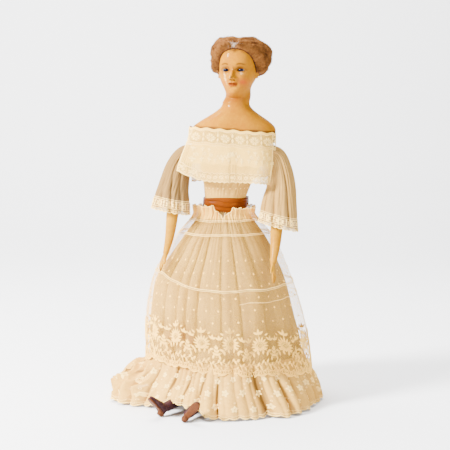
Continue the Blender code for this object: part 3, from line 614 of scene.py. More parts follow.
def addSpray(stitch, u, hem):
    # One repeat of the border: flower, leaves under it, sprigs beside and over it
    wide = 2 * math.pi * skirt["round"] / overskirt["repeats"]
    heart = np.array([u, hem + 0.0375])
    stitch.flower(heart, 0.0040, 0.0118, 9, 0.0026, turn=-14 * deg, span=208 * deg)
    stitch.flower(heart, 0.0036, 0.0078, 7, 0.0024, turn=194 * deg, span=152 * deg)
    stitch.ring(heart, 0.0034, 0.0011)
    for x in (-0.0014, 0, 0.0014):
        for y in (-0.0014, 0, 0.0014):
            stitch.dot(heart + (x, y), 0.0006, 6)
    top = heart + (0, 0.0142)
    for angle, width in ((90, 0.0034), (32, 0.0032), (148, 0.0032)):
        stitch.leaf(top, angle * deg, 0.0078, width)
    stitch.line([top - (0, 0.003), top, top + (0, 0.002)], 0.0009)
    for side in (-1, 1):
        # small sprigs beside the flower
        spot = heart + (side * 0.0145, 0.0068)
        for angle in (90 - side * 8, 90 - side * 62, 90 + side * 50):
            stitch.leaf(spot, angle * deg, 0.0064, 0.0028)
        spot = heart + (side * 0.0085, 0.0128)
        stitch.leaf(spot, (90 - side * 55) * deg, 0.0055, 0.0024)
        # a stem from under the flower, with leaves on both sides
        t = np.linspace(0, 1, 10)
        stem = heart + np.stack([side * 0.0175 * t, -0.006 - 0.0105 * t + 0.004 * np.sin(3 * t)], 1)
        stitch.line(stem, 0.0007)
        for k in (2, 5, 8):
            for lean in (-1, 1):
                stitch.leaf(stem[k], (-40 if side > 0 else -140) * deg + lean * 62 * deg, 0.0064, 0.0030)
    # an upright sprig between two flowers
    foot = np.array([u + wide / 2, hem + 0.0205])
    stitch.line([foot, foot + (0.0004, 0.006), foot + (0, 0.0115)], 0.0007)
    for rise, lean, size in ((0.003, 55, 0.0055), (0.0070, 45, 0.0048), (0.0108, 30, 0.0040)):
        for angle in (90 - lean, 90 + lean):
            stitch.leaf(foot + (0, rise), angle * deg, size * 1.2, 0.0029)
    stitch.leaf(foot + (0, 0.0115), 90 * deg, 0.0056, 0.0030)
    # a wavy leaf band
    t = np.linspace(0, 1, 26)
    band = np.stack([u + wide * (t - 0.5), hem + 0.0135 + 0.0022 * np.sin(4 * math.pi * t)], 1)
    stitch.line(band, 0.0008)
    for k in range(1, 25, 2):
        stitch.leaf(band[k], (58 if k % 4 == 1 else -64) * deg, 0.0054, 0.0028)
    # scrolls and rings along the edge
    count = 6
    for k in range(count):
        x = u + wide * ((k + 0.5) / count - 0.5)
        low = hem - float(scallop(x / skirt["round"] + overskirt["phase"])) + 0.0028
        t = np.linspace(0, 1, 18)
        turn = 2.6 * math.pi * t + (0.4 if k % 2 else 2.0)
        reach = 0.0027 - 0.0019 * t
        stitch.line(np.stack([x + reach * np.cos(turn), low + 0.0015 + reach * np.sin(turn)], 1), 0.0011)
        stitch.dot((x + wide / count / 2, low + 0.0048), 0.0008, 6)
        stitch.leaf((x + wide / count / 2, low + 0.0052), (60 if k % 2 else 120) * deg, 0.0036, 0.0018)


def makeBorder():
    stitch = Stitches()
    step = 2 * math.pi / overskirt["repeats"]
    for k in range(overskirt["repeats"]):
        a = overskirt["phase"] + step * (k - overskirt["repeats"] // 2)
        before = len(stitch.spots)
        addSpray(stitch, 0.0, 0.0)
        for i in range(before, len(stitch.spots)):
            # each spray is drawn over a level hem, and then follows the real one
            spot = stitch.spots[i]
            place = a + spot[:, 0] / skirt["round"]
            stitch.spots[i] = np.stack([place * skirt["round"], spot[:, 1] + netHem(place)], 1)
    # the buttonholed edge
    a = np.linspace(-math.pi, math.pi, 900)
    edge = np.stack([a * skirt["round"], netHem(a) - scallop(a) + 0.0004], 1)
    stitch.line(edge, 0.0017)
    stitch.line(edge + (0, 0.0066), 0.0009)
    border = stitch.sewn("border_embroidery", netSurface, finishes["embroidery"], "cotton", 0.0002, 0.0006)
    dots = Stitches()
    rows = int((0.196 - 0.118) / overskirt["dotDown"]) + 1
    rng = np.random.default_rng(4)
    for row in range(rows):
        z = 0.1215 + row * overskirt["dotDown"]
        count = int(2 * math.pi * skirt["round"] / overskirt["dotAcross"])
        for k in range(count):
            x = ((k + 0.5 * (row % 2)) / count - 0.5) * 2 * math.pi * skirt["round"]
            dots.dot((x, z + rng.uniform(-0.001, 0.001)), 0.0014)
    dots = dots.sewn("net_dots", netSurface, finishes["embroidery"], "cotton", 0.0001, 0.0007)
    return border, dots


def makeNetSeams():
    # The drawn tucks at the waist, the ruffled edge over them, and the seams across the net
    pile = Pile()
    a = np.linspace(-math.pi, math.pi, 300)
    for tuck in overskirt["tucks"]:
        z = tuck + 0.0006 * drift(6, 1.0, 7 * a)
        for shift in (-0.0009, 0.0009):
            hose(pile, liftedFrom(netPoint, a, z + shift, 0.0005 + 0 * a), 0.00055, 5)
    z = netTop(a)
    hose(pile, liftedFrom(netPoint, a, z - 0.0003, 0.0001 + 0 * a), 0.0006, 5)
    for start, end, height in (
        (-180, 180, lambda b: 0.1635 + 0.0155 * hump(halfTurn(b + 75 * deg), 42 * deg)
         - 0.002 * np.cos(2 * b)),
        (12, 150, lambda b: 0.1435 + 0.004 * np.sin(b)),
    ):
        b = np.linspace(start, end, 300) * deg
        z = height(b) + 0.0012 * drift(9, 1.0, 6 * b)
        hose(pile, liftedFrom(netPoint, b, z, 0.0004 + 0 * b), 0.00062 if start < 0 else 0.0004, 5)
        if start < 0:
            hose(pile, liftedFrom(netPoint, b, z - 0.0019, 0.0004 + 0 * b), 0.00042, 5)
    return makePiece("net_seams", pile.allPoints(), pile.faces, finishes["whitework"],
                     cloth=pile.allPoints()[:, :2])


net = makeOverskirt()
border, dots = makeBorder()
seams = makeNetSeams()
print("overskirt made")


# the embroidered flounce and its train

flounce = {
    "columns": 840,
    "rows": 50,
    "topZ": 0.066,
    "flat": (0.95, 0.075),
    "fullness": 1.16,  # metres of its pattern to a metre of the skirt's round
    "depth": 0.078,  # from the seam to the hem, in metres of its pattern
    "flare": 0.0135,
    "frontFullness": 0.019,
    "trainLength": 0.034,
    "trainAt": -84 * deg,
    "scallops": 66,
}


def hemLift(a):
    # How far the boots lift the hem
    return 0.0125 * np.exp(-((halfTurn(a + 32 * deg) / (17 * deg)) ** 4))


def flounceFolds(a, t):
    # Wide panels between narrow, deep folds
    uneven = a + 0.045 * np.sin(5 * a + 1) + 0.025 * np.sin(11 * a) + 0.02 * np.sin(4 * t + 3 * a)
    return gathers(uneven, 27, 9.0, 0.55)


def flouncePoint(a, t):
    # t is 0 at the seam and 1 at the hem
    z = flounce["topZ"] * (1 - t)
    drop = ease(t * 1.05)
    train = np.exp(-((halfTurn(a - flounce["trainAt"]) / (24 * deg)) ** 4))
    front = np.exp(-((halfTurn(a - 8 * deg) / (48 * deg)) ** 4))
    boots = hump(halfTurn(a + 34 * deg), 20 * deg)
    fine = gathers(a + 0.015 * np.sin(5 * t), 61, 7.0, 0.9)
    amount = ((1 + 0.45 * drift(14, 1.0, *ringed(3, a))) * (1 - 0.75 * boots)
              * (1 + 0.5 * hump(halfTurn(a - 45 * deg), 40 * deg)))
    folds = flounceFolds(a, t) * amount
    out = (0.0012 + flounce["flare"] * drop**0.8 + 0.0068 * drop * folds + (0.0012 - 0.0003 * t) * fine
           + 0.0024 * drop)
    out = out + front * flounce["frontFullness"] * drop * t
    # the train lies in a heap of ruffles
    bell = ease(t / 0.5) * ease((1.04 - t) / 0.25)
    ruffle = (1 - np.abs(np.sin(31 * a + 1.9 * np.sin(6.5 * t + 4 * a)))) ** 1.3
    cross = (1 - np.abs(np.sin(7.5 * t + 9 * a + 1.5 * np.sin(13 * a)))) ** 1.5
    out = (out + train
           * (flounce["trainLength"] * ease(t * 1.3) ** 1.1
              + drop * (0.0055 * ruffle + 0.0060 * (cross - 0.4))))
    point = skirtAt(a, z, np.maximum(out, 0.0012))
    lift = hemLift(a) * ease((t - 0.3) / 0.7)
    sag = 0.0012 + 0.0008 * np.sin(19 * a) * t
    heap = train * bell * (0.0075 * ruffle + 0.0065 * cross - 0.001)
    point[..., 2] = z + lift + sag * t + heap
    return point


def flounceSurface(u, v):
    # The flounce by its pattern: metres round, and metres up from its hem line
    t = np.clip(1 - v / flounce["depth"], -0.05, 1.03)
    return flouncePoint(u / (skirt["round"] * flounce["fullness"]), t)


def hemWave(a):
    # The scalloped hem, as a share of the flounce's depth
    return 0.985 - 0.035 * (1 - np.abs(np.sin(a * flounce["scallops"] / 2)))


def makeFlounce():
    a = np.linspace(-math.pi, math.pi, flounce["columns"])[None, :]
    t = np.linspace(0, 1, flounce["rows"])[:, None] ** 0.85 * hemWave(a)
    a = a + 0 * t
    points = flouncePoint(a, t)
    cloth = np.stack([a * skirt["round"] * flounce["fullness"], (1 - t) * flounce["depth"]], -1)
    # painted shade: the folds' valleys are tinted darker, more so near the boots
    valleyShade = ease((0.30 - flounceFolds(a, t)) / 1.1) * ease(t / 0.25)
    valleyShade = np.clip(valleyShade
                   * (0.85 + 0.25 * hump(halfTurn(a + 44 * deg), 24 * deg)
                      + 0.4 * drift(16, 1.0, *ringed(5, a), 3 * t)), 0, 0.9)
    piece = makePiece("flounce_cloth", points, gridFaces(*t.shape), finishes["flounce"], cloth,
                      masks={"valleyShade": valleyShade}, replaces=["flounce"])
    stitch = Stitches()
    wide = 2 * math.pi * skirt["round"] * flounce["fullness"]
    rng = np.random.default_rng(12)
    for row, (v, size) in enumerate(((0.017, 0.0048), (0.036, 0.0052), (0.055, 0.0046))):
        count = 34
        for k in range(count):
            at = np.array([((k + 0.5 * (row % 2) + 0.25) / count - 0.5) * wide,
                           v + rng.uniform(-0.002, 0.002)])
            turn = rng.uniform(0, 1.2)
            stitch.flower(at, 0.0009, size, 5, 0.0033, turn=turn)
            stitch.ring(at, 0.0008, 0.0006, 9)
            for angle in (turn + 0.6, turn + 3.5):
                spot = at + 0.0085 * np.array([math.cos(angle), math.sin(angle)])
                if spot[1] > 0.008:
                    stitch.ring(spot, 0.0010, 0.0007, 9)
    b = np.linspace(-math.pi, math.pi, 1400)
    edge = np.stack([b * skirt["round"] * flounce["fullness"],
                     (1 - hemWave(b)) * flounce["depth"] + 0.0004], 1)
    stitch.line(edge, 0.0016)
    stitch.line(edge + (0, 0.0032), 0.0007)
    for k in range(flounce["scallops"]):
        x = ((k + 0.5) / flounce["scallops"] - 0.5) * wide
        for shift in (-0.0022, 0.0, 0.0022):
            stitch.ring((x + shift, 0.0058), 0.0008, 0.0006, 8)
    work = stitch.sewn("flounce_whitework", flounceSurface, finishes["whitework"], "cotton", 0.0002, 0.0005)


makeFlounce()
print("flounce made")


# head and shoulder plate of wax

head = {
    "height": 0.0745,
    "chinZ": 0.4180,
    "x": 0.010,
    "turn": 16 * deg,
    "neckHalf": 0.0186,
    "neckZ": 0.4085,
    "halfWidth": 0.0585,
    "halfDepth": 0.028,
    "plateX": 0.002,
    "seatZ": 0.3545,
    "eyeRadius": 0.0053,
    "eyeAt": (0.140, 0.292, 0.470),
    "columns": 210,
    "rows": 180,
    # front height, back height, reach in front, reach behind, half width, squareness
    "rings": (
        (0.998, 0.998, 0.03, 0.05, 0.028, 2.0), (0.975, 0.975, 0.19, 0.23, 0.174, 2.0),
        (0.90, 0.90, 0.325, 0.375, 0.277, 2.05), (0.80, 0.79, 0.395, 0.45, 0.334, 2.15),
        (0.69, 0.68, 0.42, 0.485, 0.355, 2.2), (0.59, 0.58, 0.42, 0.49, 0.357, 2.2),
        (0.50, 0.50, 0.407, 0.475, 0.353, 2.2), (0.41, 0.43, 0.402, 0.44, 0.346, 2.2),
        (0.32, 0.37, 0.402, 0.37, 0.328, 2.15), (0.23, 0.31, 0.395, 0.295, 0.302, 2.1),
        (0.14, 0.26, 0.378, 0.245, 0.266, 2.05), (0.06, 0.20, 0.345, 0.230, 0.236, 2.0),
        (0.00, 0.14, 0.285, 0.230, 0.228, 2.0), (-0.035, 0.08, 0.235, 0.240, 0.232, 2.0)),
}


def faceHeight(height):
    # Heights as the relief below has them, for a face with low eyes and a full chin
    return np.interp(height, (-1, 0, 0.070, 0.223, 0.341, 0.470, 0.557, 1, 2),
                     (-1, 0, 0.062, 0.2005, 0.340, 0.505, 0.578, 1, 2))


def lidded(side, height, forward):
    # Closes the wax over each eye, but for an almond-shaped opening
    eyeSide, eyeForward, eyeHeight = head["eyeAt"]
    ball = head["eyeRadius"] / head["height"]
    across, up = np.abs(side) - eyeSide, height - eyeHeight
    reach = np.hypot(across, up * 1.05)
    cover = eyeForward + np.sqrt(np.maximum((ball * 1.10) ** 2 - reach**2, 0))
    over = ease((ball * 1.12 - reach) / (ball * 0.35))
    lidsOn = forward + np.maximum(cover - forward, 0) * over
    corner = 1 - np.clip(np.abs(across) / 0.069, 0, 1) ** 2
    inside = np.minimum(0.036 * corner**0.8 - up, up + 0.027 * corner**0.8)
    opening = ease(inside / 0.008) * (np.abs(across) < 0.078)
    crease = 0.007 * hump(up - 0.047 * corner**0.5, 0.009) * (np.abs(across) < 0.075)
    return lidsOn - opening * 0.050 - crease, opening


def faceRelief(side, height):
    side, height = side * 1.06, faceHeight(height)
    wide = np.abs(side)
    out = 0.010 * hump(height - 0.60, 0.05) * hump(side, 0.24)
    out = out + 0.006 * hump(height - 0.575, 0.018) * hump(wide - 0.15, 0.08)
    out = out - 0.034 * hump(wide - 0.150, 0.085) * hump(height - 0.505, 0.055)
    ridge = np.clip((0.575 - height) / 0.235, 0, 1) ** 1.15
    under = ease((height - 0.283) / 0.045)
    out = out + 0.128 * ridge * under * hump(side, 0.026 + 0.030 * ridge)
    out = out + 0.046 * hump(wide - 0.056, 0.020) * hump(height - 0.317, 0.024)  # nostril wings
    out = out - 0.030 * hump(wide - 0.030, 0.013) * hump(height - 0.289, 0.012)  # nostrils
    out = out + 0.014 * hump(wide - 0.21, 0.10) * hump(height - 0.33, 0.10)
    out = out - 0.007 * hump(wide - 0.105, 0.022) * hump(height - 0.245, 0.05)
    out = out - 0.007 * hump(side, 0.013) * hump(height - 0.255, 0.022)
    bow = 0.226 - 0.010 * hump(side, 0.012) + 0.006 * hump(wide - 0.03, 0.018)
    out = out + 0.030 * hump(height - bow, 0.016) * ease((0.105 - wide) / 0.06)
    out = out + 0.032 * hump(height - 0.176, 0.018) * ease((0.088 - wide) / 0.06)
    out = out - 0.022 * hump(height - 0.2005 - 0.3 * wide**2, 0.006) * ease((0.115 - wide) / 0.03)
    out = out - 0.008 * hump(height - 0.140, 0.018) * hump(side, 0.06)
    return out + 0.026 * hump(height - 0.062, 0.055) * hump(side, 0.095)


def earRelief(forward, height):
    ring = np.hypot((forward - 0.010) / 0.052, (height - 0.388) / 0.062)
    rim = 0.042 * hump(ring - 0.78, 0.24) * ease((0.12 - forward) / 0.06)
    lobe = 0.02 * hump(height - 0.334, 0.02) * hump(forward - 0.02, 0.03)
    return (rim + 0.016 * hump(ring, 0.5) + lobe) * ease((0.470 - height) / 0.05)


def headGrid(rows, columns, relief=True):
    # The head in its own frame, in metres: x to her left, -y in front, z up from the chin
    table = smoothThrough(head["rings"], rows)
    turn = 2 * math.pi * np.arange(columns) / columns
    angle = turn - 0.42 * np.sin(turn)
    s, c = np.sin(angle)[None, :], np.cos(angle)[None, :]
    frontZ, backZ, front, back, half, power = (table[:, i : i + 1] for i in range(6))
    side = half * np.sign(s) * np.abs(s) ** (2 / power)
    reach = np.where(c >= 0, front, back)
    forward = reach * np.sign(c) * np.abs(c) ** (2 / power)
    height = backZ + (frontZ - backZ) * (forward + back) / (front + back)
    ahead = ease(c * 2.2)
    opening = 0 * forward
    if relief:
        forward = forward + faceRelief(side, height) * ahead
        lids, opening = lidded(side, height, forward)
        forward = np.where(c > 0.2, lids, forward)
        opening = opening * (c > 0.2)
        side = side + np.sign(side) * earRelief(forward, height) * ease(np.abs(s) * 3 - 2)
    return np.stack([side, -forward, height], -1) * head["height"], opening


def inHeadFrame(points, turn=None):
    turn = head["turn"] if turn is None else turn
    c, s = math.cos(turn), math.sin(turn)
    x, y, z = points[..., 0], points[..., 1], points[..., 2]
    return np.stack([c * x + s * y + head["x"], -s * x + c * y, z + head["chinZ"]], -1)


def plateHalf(z):
    share = np.clip((z - head["seatZ"]) / (head["neckZ"] - head["seatZ"]), 0, 1)
    reach = 1 - ease((share - 0.30) / 0.70)
    width = head["neckHalf"] + (head["halfWidth"] - head["neckHalf"]) * reach
    return width, head["neckHalf"] + (head["halfDepth"] - head["neckHalf"]) * reach


def superOval(angle, halfWidth, halfDepth, power):
    c, s = np.cos(angle), np.sin(angle)
    x = halfWidth * np.sign(c) * np.abs(c) ** (2 / power)
    return x, halfDepth * np.sign(s) * np.abs(s) ** (2 / power)


def plateRing(z, columns):
    width, depth = plateHalf(z)
    share = ease((z - head["seatZ"]) / (head["neckZ"] - head["seatZ"]))
    middle = head["plateX"] + (head["x"] - head["plateX"]) * share * 0.6
    turn = 2 * math.pi * np.arange(columns) / columns
    angle = turn - 0.42 * np.sin(turn) * share
    x, y = superOval(angle - math.pi / 2, width, depth, 2.3 - 0.3 * share)
    collarBone = 0.0012 * hump(np.abs(x) - 0.020, 0.012) * (y < 0) * share * (1 - share) * 4
    return np.stack([middle + x, y - collarBone, z + 0 * x], -1)


def makeHead():
    points, opening = headGrid(head["rows"], head["columns"])
    local = points / head["height"]
    rings = [inHeadFrame(points)]
    chinRing = points[-1]
    topZ = chinRing[:, 2].mean()
    neck = []
    for share in np.linspace(0.06, 0.94, 16):
        upper = inHeadFrame(chinRing, head["turn"] * (1 - share))
        lower = plateRing(head["neckZ"], head["columns"])
        blend = ease(share)
        ring = upper * (1 - blend) + lower * blend
        low = head["neckZ"] - head["chinZ"]
        ring[:, 2] = (head["chinZ"] + topZ + (low - topZ) * share
                      + (upper[:, 2] - head["chinZ"] - topZ) * (1 - share) ** 2)
        neck.append(ring)
    rings.append(np.array(neck))
    drop = head["neckZ"] - head["seatZ"]
    plate = np.array([plateRing(head["neckZ"] - drop * share, head["columns"])
                      for share in np.linspace(0, 1, 32) ** 1.3])
    rings.append(plate)
    everything = np.concatenate(rings)
    throat = everything[len(points) - 9 : len(points) + 14]
    for _ in range(14):
        throat[1:-1] = (throat[:-2] + 2 * throat[1:-1] + throat[2:]) / 4
    rows = len(everything)
    flat = everything.reshape(-1, 3)
    faces = closedFaces(rows, head["columns"])
    extra = (rows - len(points)) * head["columns"]
    side = np.concatenate([local[..., 0].ravel(), np.full(extra, 9.0)])
    forward = np.concatenate([-local[..., 1].ravel(), np.full(extra, -9.0)])
    height = np.concatenate([local[..., 2].ravel(), np.full(extra, -9.0)])
    ahead = forward > 0.1
    eyeSide, _, eyeHeight = head["eyeAt"]
    # painted shade round the eye sockets and along each lid's crease
    around = np.hypot((np.abs(side) - eyeSide + 0.008) / 0.098, (height - eyeHeight - 0.018) / 0.066)
    lidFoldShade = (hump(np.hypot((np.abs(side) - eyeSide) / 0.088, (height - eyeHeight) / 0.058) - 1, 0.20)
               * (height > eyeHeight - 0.01) * ahead)
    side, height = side * 1.06, faceHeight(height)
    wide = np.abs(side)
    cheeks = hump(wide - 0.185, 0.075) * hump(height - 0.245, 0.062) * ahead
    cheeks = cheeks * np.where(side > 0, 1.0, 0.35)
    bow = 0.226 - 0.010 * hump(side, 0.012) + 0.006 * hump(wide - 0.03, 0.018)
    lipTop, lipLow = bow + 0.012, 0.160 + 0.25 * wide**2
    lips = (ease((lipTop - height) / 0.010) * ease((height - lipLow) / 0.012) * ease((0.100 - wide) / 0.035)
            * ahead)
    mouthLine = hump(height - 0.2005 - 0.3 * wide**2, 0.0060) * ease((0.108 - wide) / 0.02) * ahead
    browLine = 0.578 + 0.030 * hump(wide - 0.15, 0.09)
    brows = hump(height - browLine, 0.014) * ease((wide - 0.065) / 0.03) * ease((0.26 - wide) / 0.06) * ahead
    shade = hump(around, 0.95) * ahead
    chip = hump(side + 0.004, 0.021) * hump(height - 0.345, 0.024) * ahead
    chip = np.clip(chip * (1.4 + 0.8 * drift(21, 1.0, 160 * side, 160 * height)), 0, 1)
    # pale streaks on her right cheek, the nose and high on her left cheek: partly rubbed wax and partly
    # painted highlight
    scuffAndHighlight = (hump(side + 0.155 + 0.2 * (height - 0.34), 0.022) * hump(height - 0.345, 0.10)
             + hump(side + 0.028, 0.010) * hump(height - 0.37, 0.06))
    scuffAndHighlight = scuffAndHighlight + 0.8 * hump(side - 0.16, 0.03) * hump(height - 0.43, 0.03)
    scuffAndHighlight = np.clip(scuffAndHighlight * (0.7 + 2.2 * drift(23, 1.0, 130 * side, 90 * height)), 0, 1) * ahead
    # painted shade in the nostrils
    nostrilShade = hump(wide - 0.032, 0.016) * hump(height - 0.290, 0.012) * ahead
    # painted shade on the wax along the hairline, under the wig's edge
    nearHairShade = ease((height - 0.83 + 0.05 * drift(22, 1.0, 60 * side)) / 0.06) * ahead
    lash = np.concatenate([opening.ravel(), np.zeros(extra)])
    z = flat[:, 2]
    # painted shadow under the chin
    underChinShadow = hump(z - 0.4145, 0.0065) * (flat[:, 1] < 0.004) * hump(flat[:, 0] - 0.006, 0.020)
    seam = ease((0.3752 - 0.0042 * flat[:, 0] / 0.058 - z) / 0.0012)
    # mouthLine also carries the painted nostril shade, and socketShade the dark line at each eye opening
    masks = {
        "blush": cheeks, "lips": lips, "mouthLine": np.maximum(mouthLine, nostrilShade), "brows": brows,
        "socketShade": np.maximum(np.maximum(shade, 0.8 * lidFoldShade), lash), "chip": chip, "scuffAndHighlight": scuffAndHighlight,
        "hairlineShade": nearHairShade, "underChinShadow": underChinShadow, "plateEdge": seam,
    }
    finish = makeWax("aged wax", wax["colour"], wax["deep"], wax["pale"], wax["tints"])
    makePiece("wax_head", flat, faces, finish, masks=masks, replaces=["shoulder_head"])


wax = {
    "colour": (0.345, 0.134, 0.0004),
    "deep": (0.245, 0.074, 0.0003),
    "pale": (0.44, 0.200, 0.0008),
    "armColour": (0.40, 0.185, 0.0050),
    "armDeep": (0.28, 0.105, 0.0020),
    "armPale": (0.56, 0.270, 0.0060),
    # the tints under the chin, in the eye sockets, in the nostrils and along the hairline are painted shade,
    # and the scuffs are partly painted highlight
    "tints": (
        ("blush", 0.80, (0.37, 0.050, 0.005)), ("underChinShadow", 0.70, (0.15, 0.036, 0.0006)),
        ("scuffAndHighlight", 0.42, (1.0, 0.66, 0.30)), ("socketShade", 0.88, (0.060, 0.016, 0.001)),
        ("lips", 0.85, (0.16, 0.022, 0.004)), ("mouthLine", 0.95, (0.030, 0.007, 0.003)),
        ("brows", 0.85, (0.055, 0.016, 0.002)),
        ("chip", 0.90, (0.030, 0.018, 0.014)), ("hairlineShade", 0.50, (0.12, 0.036, 0.004)),
        ("plateEdge", 0.92, (0.08, 0.025, 0.006))),
}


def makeWax(name, colour, deep, pale, tints):
    finish, tree, shader = startFinish(name, 0.40, Subsurface_Weight=0.12, Subsurface_Scale=0.003,
                                       Specular_IOR_Level=0.01, Coat_Weight=0.06, Coat_Roughness=0.11)
    shader.inputs["Subsurface Radius"].default_value = (1.0, 0.5, 0.2)
    place = ownPlace(tree)
    broad = addNoise(tree, place, 38.0, 4.0)
    fine = addNoise(tree, place, 240.0, 3.0)
    colour = addMix(tree, stretched(tree, broad, 1.8, -0.62), colour, deep)
    colour = addMix(tree, stretched(tree, fine, 1.2, -0.55), colour, pale)
    for mask, strength, tint in tints:
        share = addMath(tree, "MULTIPLY", attribute(tree, mask), strength, clamp=True)
        colour = addMix(tree, share, colour, tint)
    tree.links.new(colour, shader.inputs["Base Color"])
    crackle = tree.nodes.new("ShaderNodeTexVoronoi")
    crackle.feature = "DISTANCE_TO_EDGE"
    crackle.inputs["Scale"].default_value = 160.0
    tree.links.new(place, crackle.inputs["Vector"])
    height = addMath(tree, "MULTIPLY_ADD", fine, 0.6,
                     addMath(tree, "MINIMUM", crackle.outputs["Distance"], 0.05))
    addBump(tree, shader, height, 0.25, 0.0005)
    return finish


makeHead()
print("wax head made")


# eyes

eyes = {"pupil": 0.26, "iris": 0.70, "gaze": (-6, -4)}


def makeEyeFinish():
    finish, tree, shader = startFinish("blown glass eye", 0.07, Specular_IOR_Level=0.08)
    turn = attribute(tree, "fromGaze")
    place = ownPlace(tree)
    rays = addNoise(tree, place, 1400.0, 2.0)
    iris = addMix(tree, rays, (0.0010, 0.0014, 0.0060), (0.0030, 0.0040, 0.0150))
    white = addMix(tree, addMath(tree, "GREATER_THAN", turn, eyes["iris"]), iris, (0.13, 0.105, 0.09))
    rim = addMath(tree, "COMPARE", turn, eyes["iris"] - 0.03, 0.05)
    colour = addMix(tree, rim, white, (0.006, 0.006, 0.02))
    colour = addMix(tree, addMath(tree, "LESS_THAN", turn, eyes["pupil"]), colour, (0.002, 0.002, 0.004))
    tree.links.new(colour, shader.inputs["Base Color"])
    return finish


def makeEyes():
    finish = makeEyeFinish()
    for name, sign in (("right", -1), ("left", 1)):
        middle = inHeadFrame(np.array([head["eyeAt"][0] * sign, -head["eyeAt"][1], head["eyeAt"][2]])
                             * head["height"])
        polar = np.linspace(0, math.pi, 44)[:, None]
        around = (2 * math.pi * np.arange(44) / 44)[None, :]
        ball = np.stack([np.sin(polar) * np.cos(around), np.sin(polar) * np.sin(around),
                         np.cos(polar) + 0 * around], -1)
        yaw, pitch = (g * deg for g in eyes["gaze"])
        gaze = (Matrix.Rotation(-head["turn"] * 0.6 + yaw, 3, "Z") @ Matrix.Rotation(pitch, 3, "X")
                @ Vector((0, -1, 0)))
        spin = np.array(gaze.to_track_quat("Z", "Y").to_matrix())
        points = ball.reshape(-1, 3) @ spin.T * head["eyeRadius"] + middle
        piece = makePiece(f"glass_eye_{name}", points, gridFaces(44, 44, around=True), finish,
                          masks={"fromGaze": (polar + 0 * around)}, replaces=[f"eye_{name}"])
        weld = piece.modifiers.new("weld", "WELD")
        weld.merge_threshold = 0.00001


makeEyes()
print("eyes made")


# mohair wig

wig = {
    "depth": 0.0075, "puffLeft": 0.0128, "puffRight": 0.0078, "locks": 1500, "rimLocks": 480,
    "wisps": 38, "flyaways": 300, "rows": 140, "columns": 190,
    # height over the head's middle, then how far round from the face the hair starts on her left and right
    "hairline": ((-0.60, 84, 57), (-0.20, 79, 52), (0.045, 70, 47.5), (0.34, 57, 38.5), (0.52, 41.8, 31),
                 (0.615, 26, 15), (0.65, 6, 3), (0.665, 0, 0), (0.75, -20, -20)),
    "streakAt": (0.02, -0.69, 0.72),
    "dark": (0.026, 0.008, 0.002), "mid": (0.120, 0.040, 0.009), "light": (0.280, 0.112, 0.026),
    "greyAndShade": (0.42, 0.33, 0.26),
}
wigMiddle = np.array([0, -0.01, 0.55]) * head["height"]


def hairDepth(direction):
    side, front, up = direction[..., 0], -direction[..., 1], direction[..., 2]
    rows = np.array(wig["hairline"])
    starts = np.where(side > 0, np.interp(up, rows[:, 0], rows[:, 1]), np.interp(up, rows[:, 0], rows[:, 2]))
    behind = np.clip((np.abs(np.arctan2(side, front)) / deg - starts) / 9, -1, 1)
    nape = ease((up + 0.60 - 0.125 * (front + 1)) / 0.22) * 2 - 1
    left = np.exp(-((side - 0.86) ** 2 + (front + 0.12) ** 2 + (up - 0.32) ** 2) / 0.26)
    right = np.exp(-((side + 0.80) ** 2 + (front + 0.12) ** 2 + (up - 0.62) ** 2) / 0.22)
    full = (wig["depth"] * (1.0 - 0.30 * np.maximum(0, up) ** 3) + wig["puffLeft"] * left
            + wig["puffRight"] * right)
    lumps = 0.0010 * np.sin(9 * side + 4 * up) * np.cos(8 * front - 5 * up)
    part = -0.0035 * hump(side, 0.16) * ease(up * 2) * ease(front * 2 + 0.6)
    edge = np.minimum(behind, nape)
    return np.where(edge > 0, np.abs(edge) ** 0.6 * (full + lumps + part), 0.004 * edge), edge


def wigSurface():
    points, _ = headGrid(wig["rows"], wig["columns"], relief=False)
    points = points[: int(wig["rows"] * 0.78)]
    direction = points - wigMiddle
    direction /= np.linalg.norm(direction, axis=-1, keepdims=True)
    depth, edge = hairDepth(direction)
    x, y, z = (direction[..., i] for i in range(3))
    frizz = 0.0010 * drift(31, 1.0, 30 * x, 30 * y, 30 * z) + 0.0006 * drift(32, 1.0, 80 * x, 80 * y, 80 * z)
    depth = depth + np.where(edge > 0.3, frizz * 1.3, 0)
    push = direction * np.stack([1 + 0 * z, 1 + 0 * z, np.where(z < 0, 0.3, 1.0)], -1)
    return points + push * depth[..., None], edge, direction


def makeHairFinish():
    finish, tree, shader = startFinish("crimped mohair", 0.85, Specular_IOR_Level=0.05)
    place = ownPlace(tree)
    curl = addNoise(tree, place, 420.0, 4.0, 0.7)
    lock = addNoise(tree, place, 95.0, 3.0)
    colour = addMix(tree, stretched(tree, curl, 2.8, -0.9), wig["dark"], wig["mid"])
    colour = addMix(tree, stretched(tree, lock, 2.4, -0.85), colour, wig["light"])
    colour = addMix(tree, attribute(tree, "tone"), colour, wig["light"])
    colour = addMix(tree, attribute(tree, "greyAndShade"), colour, wig["greyAndShade"])
    tree.links.new(colour, shader.inputs["Base Color"])
    addBump(tree, shader, curl, 0.9, 0.0012)
    return finish


